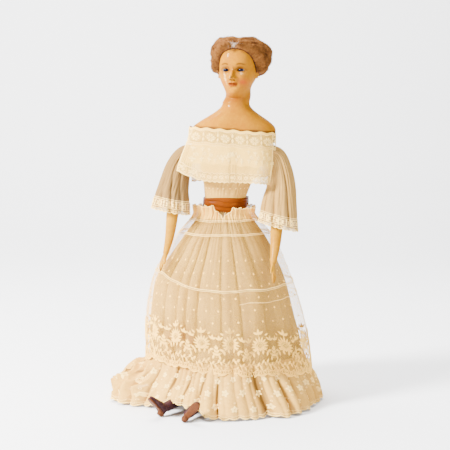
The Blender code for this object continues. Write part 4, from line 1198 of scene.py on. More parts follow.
def makeWig():
    finish = makeHairFinish()
    points, edge, direction = wigSurface()
    faces = gridFaces(*edge.shape, around=True)
    flags = (edge > -0.75).ravel()[faces].all(1)
    used = np.unique(np.concatenate([faces[flags].ravel(), np.arange(edge.shape[1])]))
    renumber = np.full(edge.size, -1)
    renumber[used] = np.arange(len(used))
    kept = [renumber[f] for f in faces[flags]] + [renumber[np.arange(edge.shape[1])[::-1]]]
    streak = hump(np.linalg.norm(direction - np.array(wig["streakAt"]), axis=-1), 0.085)
    streak = np.clip(streak * (0.6 + 0.5 * drift(33, 1.0, 60 * direction[..., 0], 20 * direction[..., 2])), 0,
                     0.8)
    makePiece("wig_bulk", inHeadFrame(points.reshape(-1, 3)[used]), kept, finish,
              masks={"greyAndShade": streak.ravel()[used]}, replaces=["wig"])
    # where the hair lies, looked up by direction from the head's middle
    away = (points - wigMiddle).reshape(-1, 3)
    radius = np.linalg.norm(away, axis=1)
    tree = kdtree.KDTree(len(away))
    for i, d in enumerate(away / radius[:, None]):
        tree.insert(d, i)
    tree.balance()
    rng = np.random.default_rng(7)
    pile, tones, greys = Pile(), [], []

    def onHair(path):
        found = [tree.find(d)[1] for d in path]
        return radius[found], edge.ravel()[found]

    def addStrand(path, thickness, tone, greyAndShade=0.0):
        hose(pile, inHeadFrame(path), thickness, 3)
        tones.append(np.full(len(path) * 3, tone))
        greys.append(np.full(len(path) * 3, greyAndShade))

    rim = hairEdge(0.0)[1]
    face = np.array([0, -1.0, -0.1])
    while len(tones) < wig["locks"]:
        nearFace = len(tones) < wig["rimLocks"]
        start = (rim[rng.integers(3, len(rim) - 3)] + rng.normal(0, 0.006, 3) if nearFace
                 else rng.normal(size=3))
        start /= np.linalg.norm(start)
        if not nearFace and onHair([start])[1][0] < 0.35:
            continue
        # locks run back and down from the parting, each with its own turn,
        # and those at the rim run away from the face
        flow = np.array([0.6 * np.sign(start[0]), 0.5, -0.45]) + rng.normal(0, 0.45, 3)
        if nearFace:
            flow = start * start.dot(face) - face + rng.normal(0, 0.40, 3)
        flow -= start * flow.dot(start)
        flow /= np.linalg.norm(flow)
        across = np.cross(start, flow)
        n = 16
        length = rng.uniform(0.12, 0.30) if nearFace else rng.uniform(0.25, 0.55)
        t = np.linspace(0, 1, n)[:, None]
        phase = rng.uniform(0, 6.28) + t * length * rng.uniform(40, 66)
        size = rng.uniform(0.015, 0.030)
        path = start + flow * t * length + across * size * np.sin(phase)
        path /= np.linalg.norm(path, axis=1, keepdims=True)
        reach, inside = onHair(path)
        if not nearFace and (inside < 0.15).any():
            continue
        reach[1:-1] = (reach[:-2] + reach[1:-1] + reach[2:]) / 3
        lift = rng.uniform(0.0001, 0.0008) + size * 0.035 * np.cos(phase[:, 0]) + nearFace * 0.0006
        inStreak = np.linalg.norm(start - np.array(wig["streakAt"])) < 0.11
        addStrand(wigMiddle + path * (reach + lift)[:, None], 0.00021 * np.sin(np.linspace(0.5, 2.8, n)),
                  rng.uniform(0, 1) ** 1.5 * 0.9, 0.85 if inStreak else 0.0)
    # loose wisps on the forehead, and flyaway ends round the outline
    brow = hairEdge(0.03)[0]
    for _ in range(wig["wisps"]):
        start = brow[rng.integers(50, 92)]
        t = np.linspace(0, 1, 9)[:, None]
        fall = np.array([rng.normal(0, 0.0035), -0.0010, -rng.uniform(0.003, 0.0075)])
        path = start + fall * t + np.array([rng.normal(0, 0.0014), 0, 0]) * np.sin(2.2 * t + 0.5)
        path[:, 1] -= 0.0006 + 0.0014 * np.sin(2.4 * t[:, 0])
        addStrand(path, 0.00011 * (1.1 - t[:, 0]), rng.uniform(0, 0.7))
    for _ in range(wig["flyaways"]):
        start = rng.normal(size=3)
        start /= np.linalg.norm(start)
        reach, inside = onHair([start])
        if inside[0] < 0.6:
            continue
        t = np.linspace(0, 1, 8)[:, None]
        path = wigMiddle + start * (reach[0] + 0.0046 * t) + rng.normal(0, 1, 3) * 0.0014 * t * t
        path = path + 0.0006 * np.sin(7 * t + rng.uniform(0, 6, 3))
        addStrand(path, 0.00012 * (1.1 - t[:, 0]), rng.uniform(0, 0.9))
    makePiece("wig_locks", pile.allPoints(), pile.faces, finish,
              masks={"tone": np.concatenate(tones), "greyAndShade": np.concatenate(greys)})


def hairEdge(inward):
    # Points on the bare head along the wig's front edge; inward moves them towards the face
    points, _ = headGrid(200, 240, relief=False)
    away = (points - wigMiddle).reshape(-1, 3)
    radius = np.linalg.norm(away, axis=1)
    rows = np.array(wig["hairline"])
    up = 0.664 - 0.93 * (1 - np.linspace(0, 1, 71)) ** 2
    level = np.sqrt(1 - up**2)
    sides = []
    for sign, column in ((-1, 2), (1, 1)):
        turn = sign * np.interp(up, rows[:, 0], rows[:, column]) * deg
        sides.append(np.stack([level * np.sin(turn), -level * np.cos(turn), up], 1))
    path = np.concatenate([sides[0], sides[1][::-1][1:]])
    path = path + inward * (np.array([0, -1.0, -0.1]) - path)
    for _ in range(30):
        path[1:-1] = (path[:-2] + 2 * path[1:-1] + path[2:]) / 4
    path /= np.linalg.norm(path, axis=1, keepdims=True)
    nearest = (path @ (away / radius[:, None]).T).argmax(1)
    reach = radius[nearest]
    for _ in range(4):
        reach[1:-1] = (reach[:-2] + 2 * reach[1:-1] + reach[2:]) / 4
    return wigMiddle + path * reach[:, None], path


def makeHairBand():
    # The wig's bound edge: a dark cord, partly a real band and partly standing for the shadow under the wig's
    # edge
    dark, tree, shader = startFinish("dark hair cord", 0.7, Specular_IOR_Level=0.05)
    place = ownPlace(tree)
    grain = addNoise(tree, place, 900.0, 2.0)
    tree.links.new(addMix(tree, grain, (0.016, 0.005, 0.002), (0.06, 0.02, 0.006)),
                   shader.inputs["Base Color"])
    addBump(tree, shader, grain, 0.6, 0.0004)
    cord, outward = hairEdge(0.0)
    wobble = 1 + 0.25 * drift(41, 1.0, np.arange(len(cord)) * 0.4)
    pile = Pile()
    hose(pile, inHeadFrame(cord + outward * 0.0008), 0.0009 * wobble, 7)
    hose(pile, inHeadFrame(cord + outward * 0.0014 + (0, 0.0008, 0.0006)), 0.0007 * wobble, 7)
    makePiece("wig_cord", pile.allPoints(), pile.faces, dark)


makeWig()
makeHairBand()
print("wig made")


# body inside the clothes

def makeBody():
    # Stuffed calico body and legs, seen only from under the skirts
    look = {"colour": (0.62, 0.50, 0.36), "stain": (0.45, 0.30, 0.17), "aged": 0.5, "roughness": 0.9,
            "pitch": 0.0006, "cover": 1.0}
    calico = makeCloth("stuffed calico", look)
    pile = Pile()
    trunk = smoothThrough(((-0.009, 0, 0.262, 0.024), (-0.008, 0, 0.235, 0.033), (-0.006, 0, 0.205, 0.040),
                           (-0.005, -0.002, 0.175, 0.038), (-0.005, -0.004, 0.160, 0.020)), 18)
    hose(pile, trunk[:, :3], trunk[:, 3], 28, up=(0, 1, 0))
    for side, foot in ((-1, (-0.066, -0.083, 0.017)), (1, (-0.036, -0.094, 0.017))):
        leg = smoothThrough(((-0.006 + side * 0.016, -0.002, 0.175, 0.017),
                             (-0.010 + side * 0.017, -0.018, 0.120, 0.015),
                             (foot[0] * 0.55, foot[1] * 0.5, 0.065, 0.0125),
                             (foot[0] * 0.88, foot[1] * 0.86, 0.026, 0.009),
                             (*foot, 0.0072)), 26)
        hose(pile, leg[:, :3], leg[:, 3], 18, up=(0, 1, 0.2))
    points = pile.allPoints()
    makePiece("stuffed_body", points, pile.faces, calico, cloth=points[:, [0, 2]])


makeBody()


# bodice

bodice = {"waistX": -0.009, "waist": (0.0285, 0.0225), "chest": (0.047, 0.0275), "sashHeight": 0.0215,
          "flat": (0.26, 0.09)}


def bodicePoint(a, z, out):
    low, high = skirt["waistZ"] + bodice["sashHeight"], head["seatZ"]
    share = ease((z - low) / (high - low) * 0.94 + 0.06) * (z > low)
    bust = hump(z - (low + (high - low) * 0.60), 0.022) * 0.0015
    width = bodice["waist"][0] + (bodice["chest"][0] - bodice["waist"][0]) * share
    depth = bodice["waist"][1] + (bodice["chest"][1] - bodice["waist"][1]) * share + bust
    middle = (bodice["waistX"]
              + (head["plateX"] - bodice["waistX"]) * ease((z - skirt["waistZ"]) / (high - skirt["waistZ"])))
    x, y = superOval(a - math.pi / 2, width + out, depth + out, 2.2)
    return np.stack([middle + x, y, z + 0 * x], -1)


def makeBodice():
    a = np.linspace(-math.pi, math.pi, 240)[None, :]
    z = np.linspace(skirt["waistZ"] + 0.001, head["seatZ"] - 0.0006, 56)[:, None]
    folds = (0.0006 * gathers(a + 0.6 * (z - 0.29), 44, 3.3) * ease((z - 0.279) / 0.01)
             + 0.0004 * drift(51, 1.0, *ringed(7, a), 120 * z))
    points = bodicePoint(a, z, folds)
    cloth = np.stack([a * 0.042 + 0 * z, z + 0 * a], -1)
    piece = makePiece("bodice_cloth", points, gridFaces(*cloth.shape[:2]), finishes["bodice"], cloth,
                      replaces=["bodice"])
    stitch = Stitches()
    for row in range(9):
        for k in range(26):
            at = np.array([((k + 0.5 * (row % 2)) / 26 - 0.5) * 2 * math.pi * 0.042, 0.2855 + row * 0.0062])
            if row % 3 == 1:
                stitch.leaf(at, 60 * deg, 0.0026, 0.0012)
                stitch.leaf(at, 120 * deg, 0.0026, 0.0012)
            else:
                stitch.dot(at, 0.00055, 6)
    work = stitch.sewn("bodice_whitework", lambda u, v: bodicePoint(u / 0.042, v, 0.0006),
                       finishes["whitework"], "lace",
                       0.0001, 0.0003)


makeBodice()


# collar

collar = {
    "topZ": 0.3725, "hemZ": 0.3015, "sideZ": 0.3592, "ease": 0.0012, "flare": 0.0085, "slant": 0.0045,
    "corner": 0.026, "tuck": 0.0065,
    "sideAngle": 26 * deg, "columns": 480, "rows": 60, "flat": (0.33, 0.072), "round": 0.048,
    "band": (0.0030, 0.0195), "panel": (0.0235, 0.0470),
}


def evenAngle(a, power):
    # The angle that lies as far round the collar's squarish oval as a does round a circle
    powers = np.linspace(2.6, 4.7, 10)
    turn = np.linspace(-math.pi, math.pi, 1441)
    place = np.clip((power - 2.6) / 2.1, 0, 1) * 9
    lower = np.minimum(place.astype(int), 8)
    angles = []
    for p in powers:
        x, y = superOval(turn - math.pi / 2, 0.0600, 0.0340, p)
        length = np.concatenate([[0], np.cumsum(np.hypot(np.diff(x), np.diff(y)))])
        angles.append(np.interp(halfTurn(a), length / length[-1] * 2 * math.pi - math.pi, turn))
    angles = np.array(angles)
    picked = [np.take_along_axis(angles, (lower + k)[None], 0)[0] for k in (0, 1)]
    return picked[0] + (picked[1] - picked[0]) * (place - lower)


def collarTop(a):
    return collar["topZ"] - 0.0042 * np.sin(a) + 0.0008 * np.sin(17 * a + 1)


def collarHem(a):
    theta = evenAngle(a, 4.0 + 0 * a) - math.pi / 2
    fromSide = np.arcsin(np.abs(np.sin(theta)))
    share = ease((fromSide - collar["sideAngle"]) / (14 * deg) + 0.5)
    slant = collar["slant"] * np.cos(theta) * np.where(np.sin(theta) < 0, 1, -1)
    slant = slant - 0.012 * np.exp(-((halfTurn(theta - 208 * deg) / (20 * deg)) ** 2))
    scallops = 0.0016 * (1 - np.abs(np.sin(a * 24)))
    return collar["sideZ"] + (collar["hemZ"] - slant - collar["sideZ"]) * share + scallops


def collarAt(a, z):
    width, depth = plateHalf(np.maximum(z - 0.004, head["seatZ"]))
    fall = np.maximum(0, (collar["topZ"] - z) / (collar["topZ"] - collar["hemZ"]))
    power = 2.7 + 1.9 * ease(fall * 1.4)
    theta = evenAngle(a + 0 * z, power + 0 * a) - math.pi / 2
    spread = collar["flare"] * fall * np.abs(np.sin(theta))
    waves = (0.0009 * ease(fall * 1.6) * drift(61, 1.0, *ringed(6, a), 30 * z)
             + 0.0005 * np.sin(9 * a + 30 * z) * fall)
    x, y = superOval(theta, width + collar["ease"] + waves, depth + collar["ease"] + spread + waves, power)
    corner = collar["corner"] * fall * np.exp(-((halfTurn(theta - 208 * deg) / (18 * deg)) ** 2))
    tuck = collar["tuck"] * fall * np.exp(-((halfTurn(theta - 325 * deg) / (24 * deg)) ** 2))
    return np.stack([head["plateX"] + x - corner - tuck, y - 0.25 * corner, z + 0 * x], -1)


def collarSurface(u, v):
    # The collar by metres round, and metres down from its upper edge as minus v
    a = u / collar["round"]
    return collarAt(a, collarTop(a) + v)


def makeCollar():
    a = np.linspace(-math.pi, math.pi, collar["columns"])[None, :]
    t = np.linspace(0, 1, collar["rows"])[:, None]
    top = collarTop(a)
    z = top + (collarHem(a) - top) * t
    a = a + 0 * z
    v = z - top
    points = collarAt(a, z)
    cloth = np.stack([a * collar["round"], v], -1)
    fromHem = z - collarHem(a)
    fromSide = np.arcsin(np.abs(np.cos(evenAngle(a, 4.0 + 0 * a))))
    sideLace = ease((41 * deg - fromSide) / (3 * deg))
    band = ease((-v - collar["band"][0]) / 0.0008) * ease((collar["band"][1] + v) / 0.0008)
    edging = ease((-v - collar["panel"][1]) / 0.0008)
    openwork = np.clip(np.maximum(band, np.maximum(edging, sideLace * (-v > collar["band"][0]))), 0, 1)
    sheer = np.clip(0.30 + 0.25 * drift(18, 1.0, *ringed(9, a), 90 * v), 0, 0.6)
    openwork = np.maximum(openwork, sheer * (-v > collar["panel"][0]))
    openwork = openwork * ease(fromHem / 0.0012)
    wide = 2 * math.pi * collar["round"]
    # the ground between the wheels and in the edging's loops lies open, and is tinted darker as painted shade
    # seen through it
    wheels, edgeLoops, ladderSteps = 16, 40, 150
    wheelLine = -(collar["band"][0] + collar["band"][1]) / 2 - 0.0008
    step = np.abs((a * collar["round"] / wide * wheels + 8) % 1 - 0.5) * wide / wheels
    reach = np.hypot(step, v - wheelLine)
    laceGroundShade = (band
               * np.clip(hump(reach - 0.0074, 0.0012) + 0.9 * hump(reach - 0.0026, 0.0007)
                         + 0.6 * ease((reach - 0.0088) / 0.001), 0, 1))
    step = np.abs((a * collar["round"] / wide * edgeLoops) % 1 - 0.5) * wide / edgeLoops
    loops = np.hypot(step, fromHem - 0.0064)
    laceGroundShade = np.maximum(laceGroundShade, hump(loops - 0.0048, 0.0010) * (fromHem > 0.0012) * (-v > 0.024))
    laceGroundShade = 0.6 * laceGroundShade * (0.75 + 0.5 * drift(19, 1.0, *ringed(8, a), 200 * v))
    piece = makePiece("collar_lace", points, gridFaces(*z.shape), finishes["lace"], cloth,
                      masks={"openwork": openwork, "laceGroundShade": np.clip(laceGroundShade, 0, 0.8)}, replaces=["collar"])
    stitch = Stitches()

    def alongHem(u):
        b = u / collar["round"]
        return collarHem(b) - collarTop(b)

    # insertion: wheel flowers between two beaded edges
    for v0 in (collar["band"][0], collar["band"][1], collar["panel"][0] - 0.0012):
        b = np.linspace(-wide / 2, wide / 2, 700)
        stitch.line(np.stack([b, -v0 + 0 * b], 1), 0.0009)
    for k in range(wheels):
        u = (k + 0.5) / wheels * wide - wide / 2
        at = np.array([u, wheelLine])
        stitch.flower(at, 0.0022, 0.0058, 8, 0.0025)
        stitch.ring(at, 0.0018, 0.0008, 12)
        half = wide / wheels / 2
        for side in (-1, 1):
            stitch.leaf(at + (half, side * 0.0008), side * 90 * deg, 0.0050, 0.0026)
            stitch.ring(at + (half, side * 0.0070), 0.0011, 0.0006, 9)
        for shift in (-0.0036, 0.0036):
            stitch.ring(at + (half + shift, 0), 0.0010, 0.0006, 9)
    # ladder of beading under the insertion
    for k in range(ladderSteps):
        u = (k + 0.5) / ladderSteps * wide - wide / 2
        stitch.line([(u, -collar["band"][1]), (u, -collar["panel"][0] + 0.0012)], 0.0005)
    rng = np.random.default_rng(3)
    # a spray in the middle of each panel, and small sprigs round it
    for middle in (-0.004, wide / 2 - 0.004, -wide / 2 - 0.004):
        heart = np.array([middle, -0.0345])
        t = np.linspace(-1, 1, 16)
        stem = heart + np.stack([0.017 * t, -0.0035 * t**2 + 0.002 * np.sin(3 * t)], 1)
        stitch.line(stem, 0.0007)
        for k in range(1, 15):
            stitch.leaf(stem[k], (70 if k % 2 else -70) * deg, 0.0040, 0.0020)
        stitch.flower(heart + (0.001, 0.001), 0.001, 0.0046, 7, 0.0024)
    for u in np.linspace(-wide / 2 + 0.012, wide / 2 - 0.012, 34):
        for v in (-0.0285, -0.0415):
            spot = np.array([u + rng.uniform(-0.001, 0.001), v + rng.uniform(-0.001, 0.001)])
            if -alongHem(u) > 0.05 and (abs(u + 0.004) > 0.020 or v < -0.04):
                for angle in (40, 90, 140, 270):
                    stitch.leaf(spot, angle * deg, 0.0034, 0.0018)
        if -alongHem(u) > 0.05 and abs(u + 0.004) > 0.022:
            stitch.flower((u + 0.003, -0.035), 0.0006, 0.0030, 6, 0.0017)
            stitch.line([(u - 0.001, -0.040), (u + 0.001, -0.037), (u + 0.003, -0.035)], 0.0006)
    # lace edging: scallops, loops and small flowers along the whole edge
    steps = 3 * edgeLoops
    for k in range(steps):
        u = (k + 0.5) / steps * wide - wide / 2
        low = float(alongHem(u))
        if low > -0.02:
            continue
        stitch.ring((u, low + 0.0020), 0.0010, 0.0006, 8)
        if k % 3 == 0:
            stitch.flower((u, low + 0.0066), 0.0007, 0.0031, 6, 0.0018)
        if k % 3 == 1:
            stitch.ring((u, low + 0.0092), 0.0009, 0.0006, 8)
            stitch.leaf((u, low + 0.0040), 90 * deg, 0.0036, 0.0015)
    b = np.linspace(-wide / 2, wide / 2, 2400)
    stitch.line(np.stack([b, alongHem(b) + 0.0005], 1), 0.0013)
    inner = np.minimum(alongHem(b) + 0.0118, -0.0235)
    stitch.line(np.stack([b, inner], 1), 0.0009)
    work = stitch.sewn("collar_whitework", collarSurface, finishes["whitework"], "lace", 0.0001, 0.0005)


makeCollar()
print("bodice and collar made")


# sleeves with lace cuffs

poses = {
    "right": {
        "sign": -1, "cuffSlope": 11 * deg,
        "path": ((0.046, 0, 0.338), (0.0605, 0.000, 0.3375), (0.0715, -0.002, 0.322),
                 (0.0775, -0.009, 0.300), (0.0815, -0.018, 0.279), (0.0835, -0.024, 0.262)),
        "sizes": ((0.0085, 0.0125), (0.0135, 0.0155), (0.0165, 0.0170), (0.0195, 0.0200), (0.0235, 0.0225),
                  (0.0265, 0.0240)),
    },
    "left": {
        "sign": 1, "cuffSlope": -14 * deg,
        "path": ((0.048, 0, 0.338), (0.0610, 0.000, 0.336), (0.0672, -0.002, 0.319),
                 (0.0695, -0.007, 0.295), (0.0665, -0.021, 0.268), (0.0645, -0.036, 0.242)),
        "sizes": ((0.0085, 0.0120), (0.0125, 0.0155), (0.0155, 0.0165), (0.0190, 0.0175), (0.0240, 0.0215),
                  (0.0275, 0.0250)),
    },
}
sleeves = {"rows": 80, "columns": 210, "cuff": 0.0185, "flat": (0.150, 0.105), "folds": 0.0015,
           "girth": 0.026}


def sleeveTable(side):
    rows = 200
    pose = poses[side]
    table = smoothThrough([(*p, *s) for p, s in zip(pose["path"], pose["sizes"])], rows)
    table[:, 0] *= pose["sign"]
    along = np.gradient(table[:, :3], axis=0)
    along /= np.linalg.norm(along, axis=1, keepdims=True)
    width = np.cross(np.array([0, 1, 0]), along) * -pose["sign"]
    width /= np.linalg.norm(width, axis=1, keepdims=True)
    cuff = np.array([pose["sign"] * math.cos(pose["cuffSlope"]), 0, math.sin(pose["cuffSlope"])])
    share = ease(np.linspace(0, 1, rows) * 1.4 - 0.4)[:, None]
    width = width * (1 - share) + cuff * share
    width /= np.linalg.norm(width, axis=1, keepdims=True)
    length = np.concatenate([[0], np.cumsum(np.linalg.norm(np.diff(table[:, :3], axis=0), axis=1))])
    return table, width, length


def sleeveFolds(side, a, share):
    # A few soft folds of uneven width, with small ones between
    seed = 1.7 if side == "left" else 4.1
    turn = a + 0.22 * np.sin(3 * share + seed) + 0.16 * np.sin(2 * a + seed)
    small = gathers(a + 0.12 * np.sin(5 * share), 19, seed + 1, 0.9)
    return (gathers(turn, 9, seed, 0.75) * (0.9 + 0.35 * drift(17, 1.0, *ringed(2, a), 3 * share))
            + 0.30 * small)


def sleevePoint(data, side, a, s):
    # a goes round, s is metres along the sleeve from the shoulder
    table, width, length = data
    s = np.clip(s, 0, length[-1] + 0.0015)
    pick = lambda values: np.interp(s, length, values)
    middle = np.stack([pick(table[:, i]) for i in range(3)], -1)
    over = np.maximum(s - length[-1], 0)
    across = np.stack([pick(width[:, i]) for i in range(3)], -1)
    share = s / length[-1]
    folds = sleeveFolds(side, a, share)
    fine = gathers(a, 37, 2.2)
    # gathered tight at the shoulder, puffed in the middle, hanging in soft pleats
    amount = sleeves["folds"] * (0.35 + 0.9 * share)
    grow = folds * amount * 1.15 + fine * 0.0005 * (1 - 0.6 * share) - amount * 0.5
    pinch = -0.0006 * hump(s - (length[-1] - sleeves["cuff"]), 0.0012)
    x, y = superOval(a, pick(table[:, 3]) + grow + pinch, pick(table[:, 4]) + grow + pinch, 2.15)
    point = middle + across * x[..., None] + np.array([0, 1, 0]) * y[..., None]
    point[..., 2] = point[..., 2] - over * 1.0
    return point


def makeSleeves():
    for side in poses:
        data = sleeveTable(side)
        reach = data[2][-1]
        scallops = 26
        a = np.linspace(0, 2 * math.pi, sleeves["columns"])[None, :]
        hem = reach - 0.0016 * (1 - np.abs(np.sin(a * scallops / 2)))
        s = np.linspace(0.006, 1, sleeves["rows"])[:, None] * hem
        a = a + 0 * s
        girth = sleeves["girth"]
        points = sleevePoint(data, side, a, s)
        cloth = np.stack([a * girth, -s], -1)
        cuffStart = reach - sleeves["cuff"]
        openwork = ease((s - cuffStart) / 0.001) * ease((hem - s) / 0.001)
        # painted shade: the fold valleys are tinted darker, and the right sleeve but for its cuff is tinted
        # darker and greyer, partly for greyer gauze and partly as painted shade
        valleyShade = np.clip(ease((0.1 - sleeveFolds(side, a, s / reach)) / 1.2) * 0.7 * (1 - openwork), 0, 0.75)
        greyAndShade = (0.75 if side == "right" else 0.0) * (1 - openwork)
        masks = {"openwork": openwork * 0.8, "valleyShade": valleyShade, "greyAndShade": greyAndShade}
        piece = makePiece(f"sleeve_cloth_{side}", points, gridFaces(*s.shape), finishes["sleeve"],
                          cloth, masks=masks, replaces=[f"sleeve_{side}"])
        stitch = Stitches()
        wide = 2 * math.pi * girth
        b = np.linspace(0, wide, 420)
        for v in (cuffStart, cuffStart + 0.0022, reach - 0.0062):
            stitch.line(np.stack([b, -v + 0 * b], 1), 0.0009)
        edge = reach - 0.0016 * (1 - np.abs(np.sin(b / girth * scallops / 2))) - 0.0004
        stitch.line(np.stack([b, -edge], 1), 0.0013)
        count = 10
        for k in range(count):
            at = np.array([(k + 0.5) / count * wide, -(cuffStart + 0.0074)])
            stitch.flower(at, 0.0016, 0.0054, 8, 0.0026)
            stitch.ring(at, 0.0014, 0.0009, 10)
            for lean in (-1, 1):
                stitch.leaf(at + (wide / count / 2, 0), lean * 90 * deg, 0.0050, 0.0026)
        for k in range(scallops * 2):
            stitch.ring(((k + 0.5) / scallops / 2 * wide, -(reach - 0.0034)), 0.0009, 0.0006, 8)

        def surface(u, v):
            return sleevePoint(data, side, u / girth, -v)

        work = stitch.sewn(f"cuff_whitework_{side}", flipped(surface), finishes["whitework"], "lace",
                           0.0001, 0.0005)


def flipped(surface):
    # Makes the stitches stand on the outside of either sleeve
    near, down = np.array([0.0]), np.array([-0.05])
    probe = liftedFrom(surface, near, down, np.array([0.001]))
    plain = surface(near, down)
    middle = surface(np.array([math.pi * sleeves["girth"]]), down) * 0.5 + plain * 0.5
    if np.linalg.norm(probe - middle) > np.linalg.norm(plain - middle):
        return surface
    return lambda u, v: surface(-u, v)


makeSleeves()
print("sleeves made")


# forearms and hands, each run together like poured wax

arms = {
    # shoulder end to wrist, and where the fingers point
    "right": {"sign": -1,
              "path": ((0.0790, -0.020, 0.272), (0.0805, -0.026, 0.254), (0.0838, -0.031, 0.228),
                       (0.0890, -0.036, 0.205)),
              "fingers": (0.0985, -0.044, 0.1820)},
    "left": {"sign": 1,
             "path": ((0.0628, -0.034, 0.255), (0.0610, -0.045, 0.236), (0.0590, -0.057, 0.215),
                      (0.0560, -0.066, 0.196)),
             "fingers": (0.0580, -0.085, 0.168)},
    "halves": (0.0082, 0.0082, 0.0064, 0.0041),
    "voxel": 0.00055,
    "worn": (0.055, 0.016, 0.003),
}


def makeArm(side, finish):
    pose = arms[side]
    sign = pose["sign"]
    path = np.array(pose["path"]) * (sign, 1, 1)
    wrist, tip = path[-1], np.array(pose["fingers"]) * (sign, 1, 1)
    along = (tip - wrist) / np.linalg.norm(tip - wrist)
    reach = np.linalg.norm(tip - wrist)
    across = np.array([-sign * 0.35, -1.0, 0])
    across -= along * across.dot(along)
    across /= np.linalg.norm(across)
    inward = np.cross(along, across) * sign  # out of the palm, towards the skirt
    pile = Pile()
    rows = smoothThrough(np.column_stack([path, arms["halves"]]), 30)
    hose(pile, rows[:, :3], rows[:, 3], 20, flat=0.94)
    # the palm, then four bent fingers and the thumb
    t = np.linspace(0, 1, 12)
    palm = wrist + along * (reach * 0.56 * t)[:, None] - along * 0.001
    for shift, half in ((-0.0028, 0.0024), (-0.0009, 0.0027), (0.0011, 0.0028), (0.0030, 0.0025)):
        hose(pile, palm + across * (shift * ease(t * 1.6 + 0.35))[:, None],
             half * np.interp(t, (0, 0.3, 1), (1.1, 1.05, 0.85)), 12)
    knuckles = wrist + along * reach * 0.50
    for k, (length, bend) in enumerate(((0.0095, 0.30), (0.0118, 0.22), (0.0124, 0.16), (0.0108, 0.10))):
        t = np.linspace(0, 1, 14)
        start = knuckles + across * (k - 1.5) * 0.0027
        finger = (start + np.outer(length * t, along) + np.outer(length * bend * t**2, inward)
                  + np.outer(0.0006 * (k - 1.5) * t, across))
        hose(pile, finger, 0.00138 * np.interp(t, (0, 0.3, 0.45, 0.8, 1), (1.1, 0.98, 1.04, 0.88, 0.50)), 10)
    t = np.linspace(0, 1, 12)
    thumb = wrist + along * reach * 0.16 + across * 0.0036
    thumb = (thumb + np.outer(0.0108 * t, along) + np.outer(0.0030 * np.sin(1.9 * t), across)
             + np.outer(0.0016 * t, inward))
    hose(pile, thumb, 0.00165 * np.interp(t, (0, 0.5, 0.85, 1), (1.25, 0.95, 0.80, 0.45)), 10)
    rough = makePiece(f"arm_core_{side}", pile.allPoints(), pile.faces, finish)
    remesh = rough.modifiers.new("remesh", "REMESH")
    remesh.mode = "VOXEL"
    remesh.voxel_size = arms["voxel"]
    soften = rough.modifiers.new("soften", "SMOOTH")
    soften.factor = 0.5
    soften.iterations = 3
    made = rough.evaluated_get(bpy.context.evaluated_depsgraph_get()).to_mesh()
    points = np.empty(len(made.vertices) * 3)
    made.vertices.foreach_get("co", points)
    points = points.reshape(-1, 3)
    faces = [list(p.vertices) for p in made.polygons]
    bpy.data.objects.remove(rough)
    share = (points - wrist) @ along / reach
    worn = (ease((share - 0.62) / 0.35)
            * (0.75 + 0.35 * drift(42, 1.0, *(points[:, i] * 500 for i in range(3)))))
    makePiece(f"wax_arm_{side}", points, faces, finish, masks={"worn": np.clip(worn, 0, 1)},
              replaces=[f"arm_{side}"])


armWax = makeWax("paler wax", wax["armColour"], wax["armDeep"], wax["armPale"],
                 (("worn", 0.85, arms["worn"]),))
for side in ("left", "right"):
    makeArm(side, armWax)
print("arms made")


# sash and bow

def makeSatin():
    finish, tree, shader = startFinish("rust satin", 0.38, Specular_IOR_Level=0.03)
    cloth = tree.nodes.new("ShaderNodeUVMap")
    cloth.uv_map = "cloth"
    place = ownPlace(tree)
    broad = addNoise(tree, place, 60.0, 3.0)
    stretch = tree.nodes.new("ShaderNodeMapping")
    stretch.inputs["Scale"].default_value = (60, 2600, 1)
    tree.links.new(cloth.outputs[0], stretch.inputs["Vector"])
    weftAndSheen = addNoise(tree, stretch.outputs[0], 1.0, 2.0)
    colour = addMix(tree, stretched(tree, broad, 2.0, -0.6), (0.125, 0.026, 0.0006), (0.060, 0.009, 0.0004))
    # painted sheen: lighter streaks along the weft
    colour = addMix(tree, stretched(tree, weftAndSheen, 1.4, -0.6), colour, (0.26, 0.062, 0.0020))
    colour = addMix(tree, attribute(tree, "foldShade"), colour, (0.050, 0.010, 0.001))
    tree.links.new(colour, shader.inputs["Base Color"])
    addBump(tree, shader, weftAndSheen, 0.25, 0.0002)
    return finish


satin = makeSatin()


def makeSash():
    a = np.linspace(-math.pi, math.pi, 240)[None, :]
    t = np.linspace(0, 1, 32)[:, None]
    low, high = skirt["waistZ"] + 0.0006, skirt["waistZ"] + bodice["sashHeight"] - 0.0004
    wander = 0.22 * np.sin(2 * a + 1) + 0.10 * np.sin(5 * a) + 0.05 * np.sin(9 * a + 9 * t)
    folds = np.abs(np.sin(math.pi * (t**1.3 * 2.7 + wander)))
    out = 0.0010 + (0.0010 + 0.0006 * np.sin(3 * a + 4 * t)) * folds**0.5
    out = out * ease(t / 0.05) * ease((1 - t) / 0.05) + 0.0006
    z = low + (high - low) * t + 0.0006 * np.sin(3 * a + 2) * (t - 0.5) * 2
    points = bodicePoint(a + 0 * t, z + 0 * a, out)
    cloth = np.stack([a * 0.030 + 0 * t, t * 0.028 + 0 * a], -1)
    shade = ease((0.35 - folds) / 0.35) * 0.75 + 0 * a
    piece = makePiece("satin_sash", points, gridFaces(*cloth.shape[:2]), satin, cloth,
                      masks={"foldShade": shade}, replaces=["sash"])


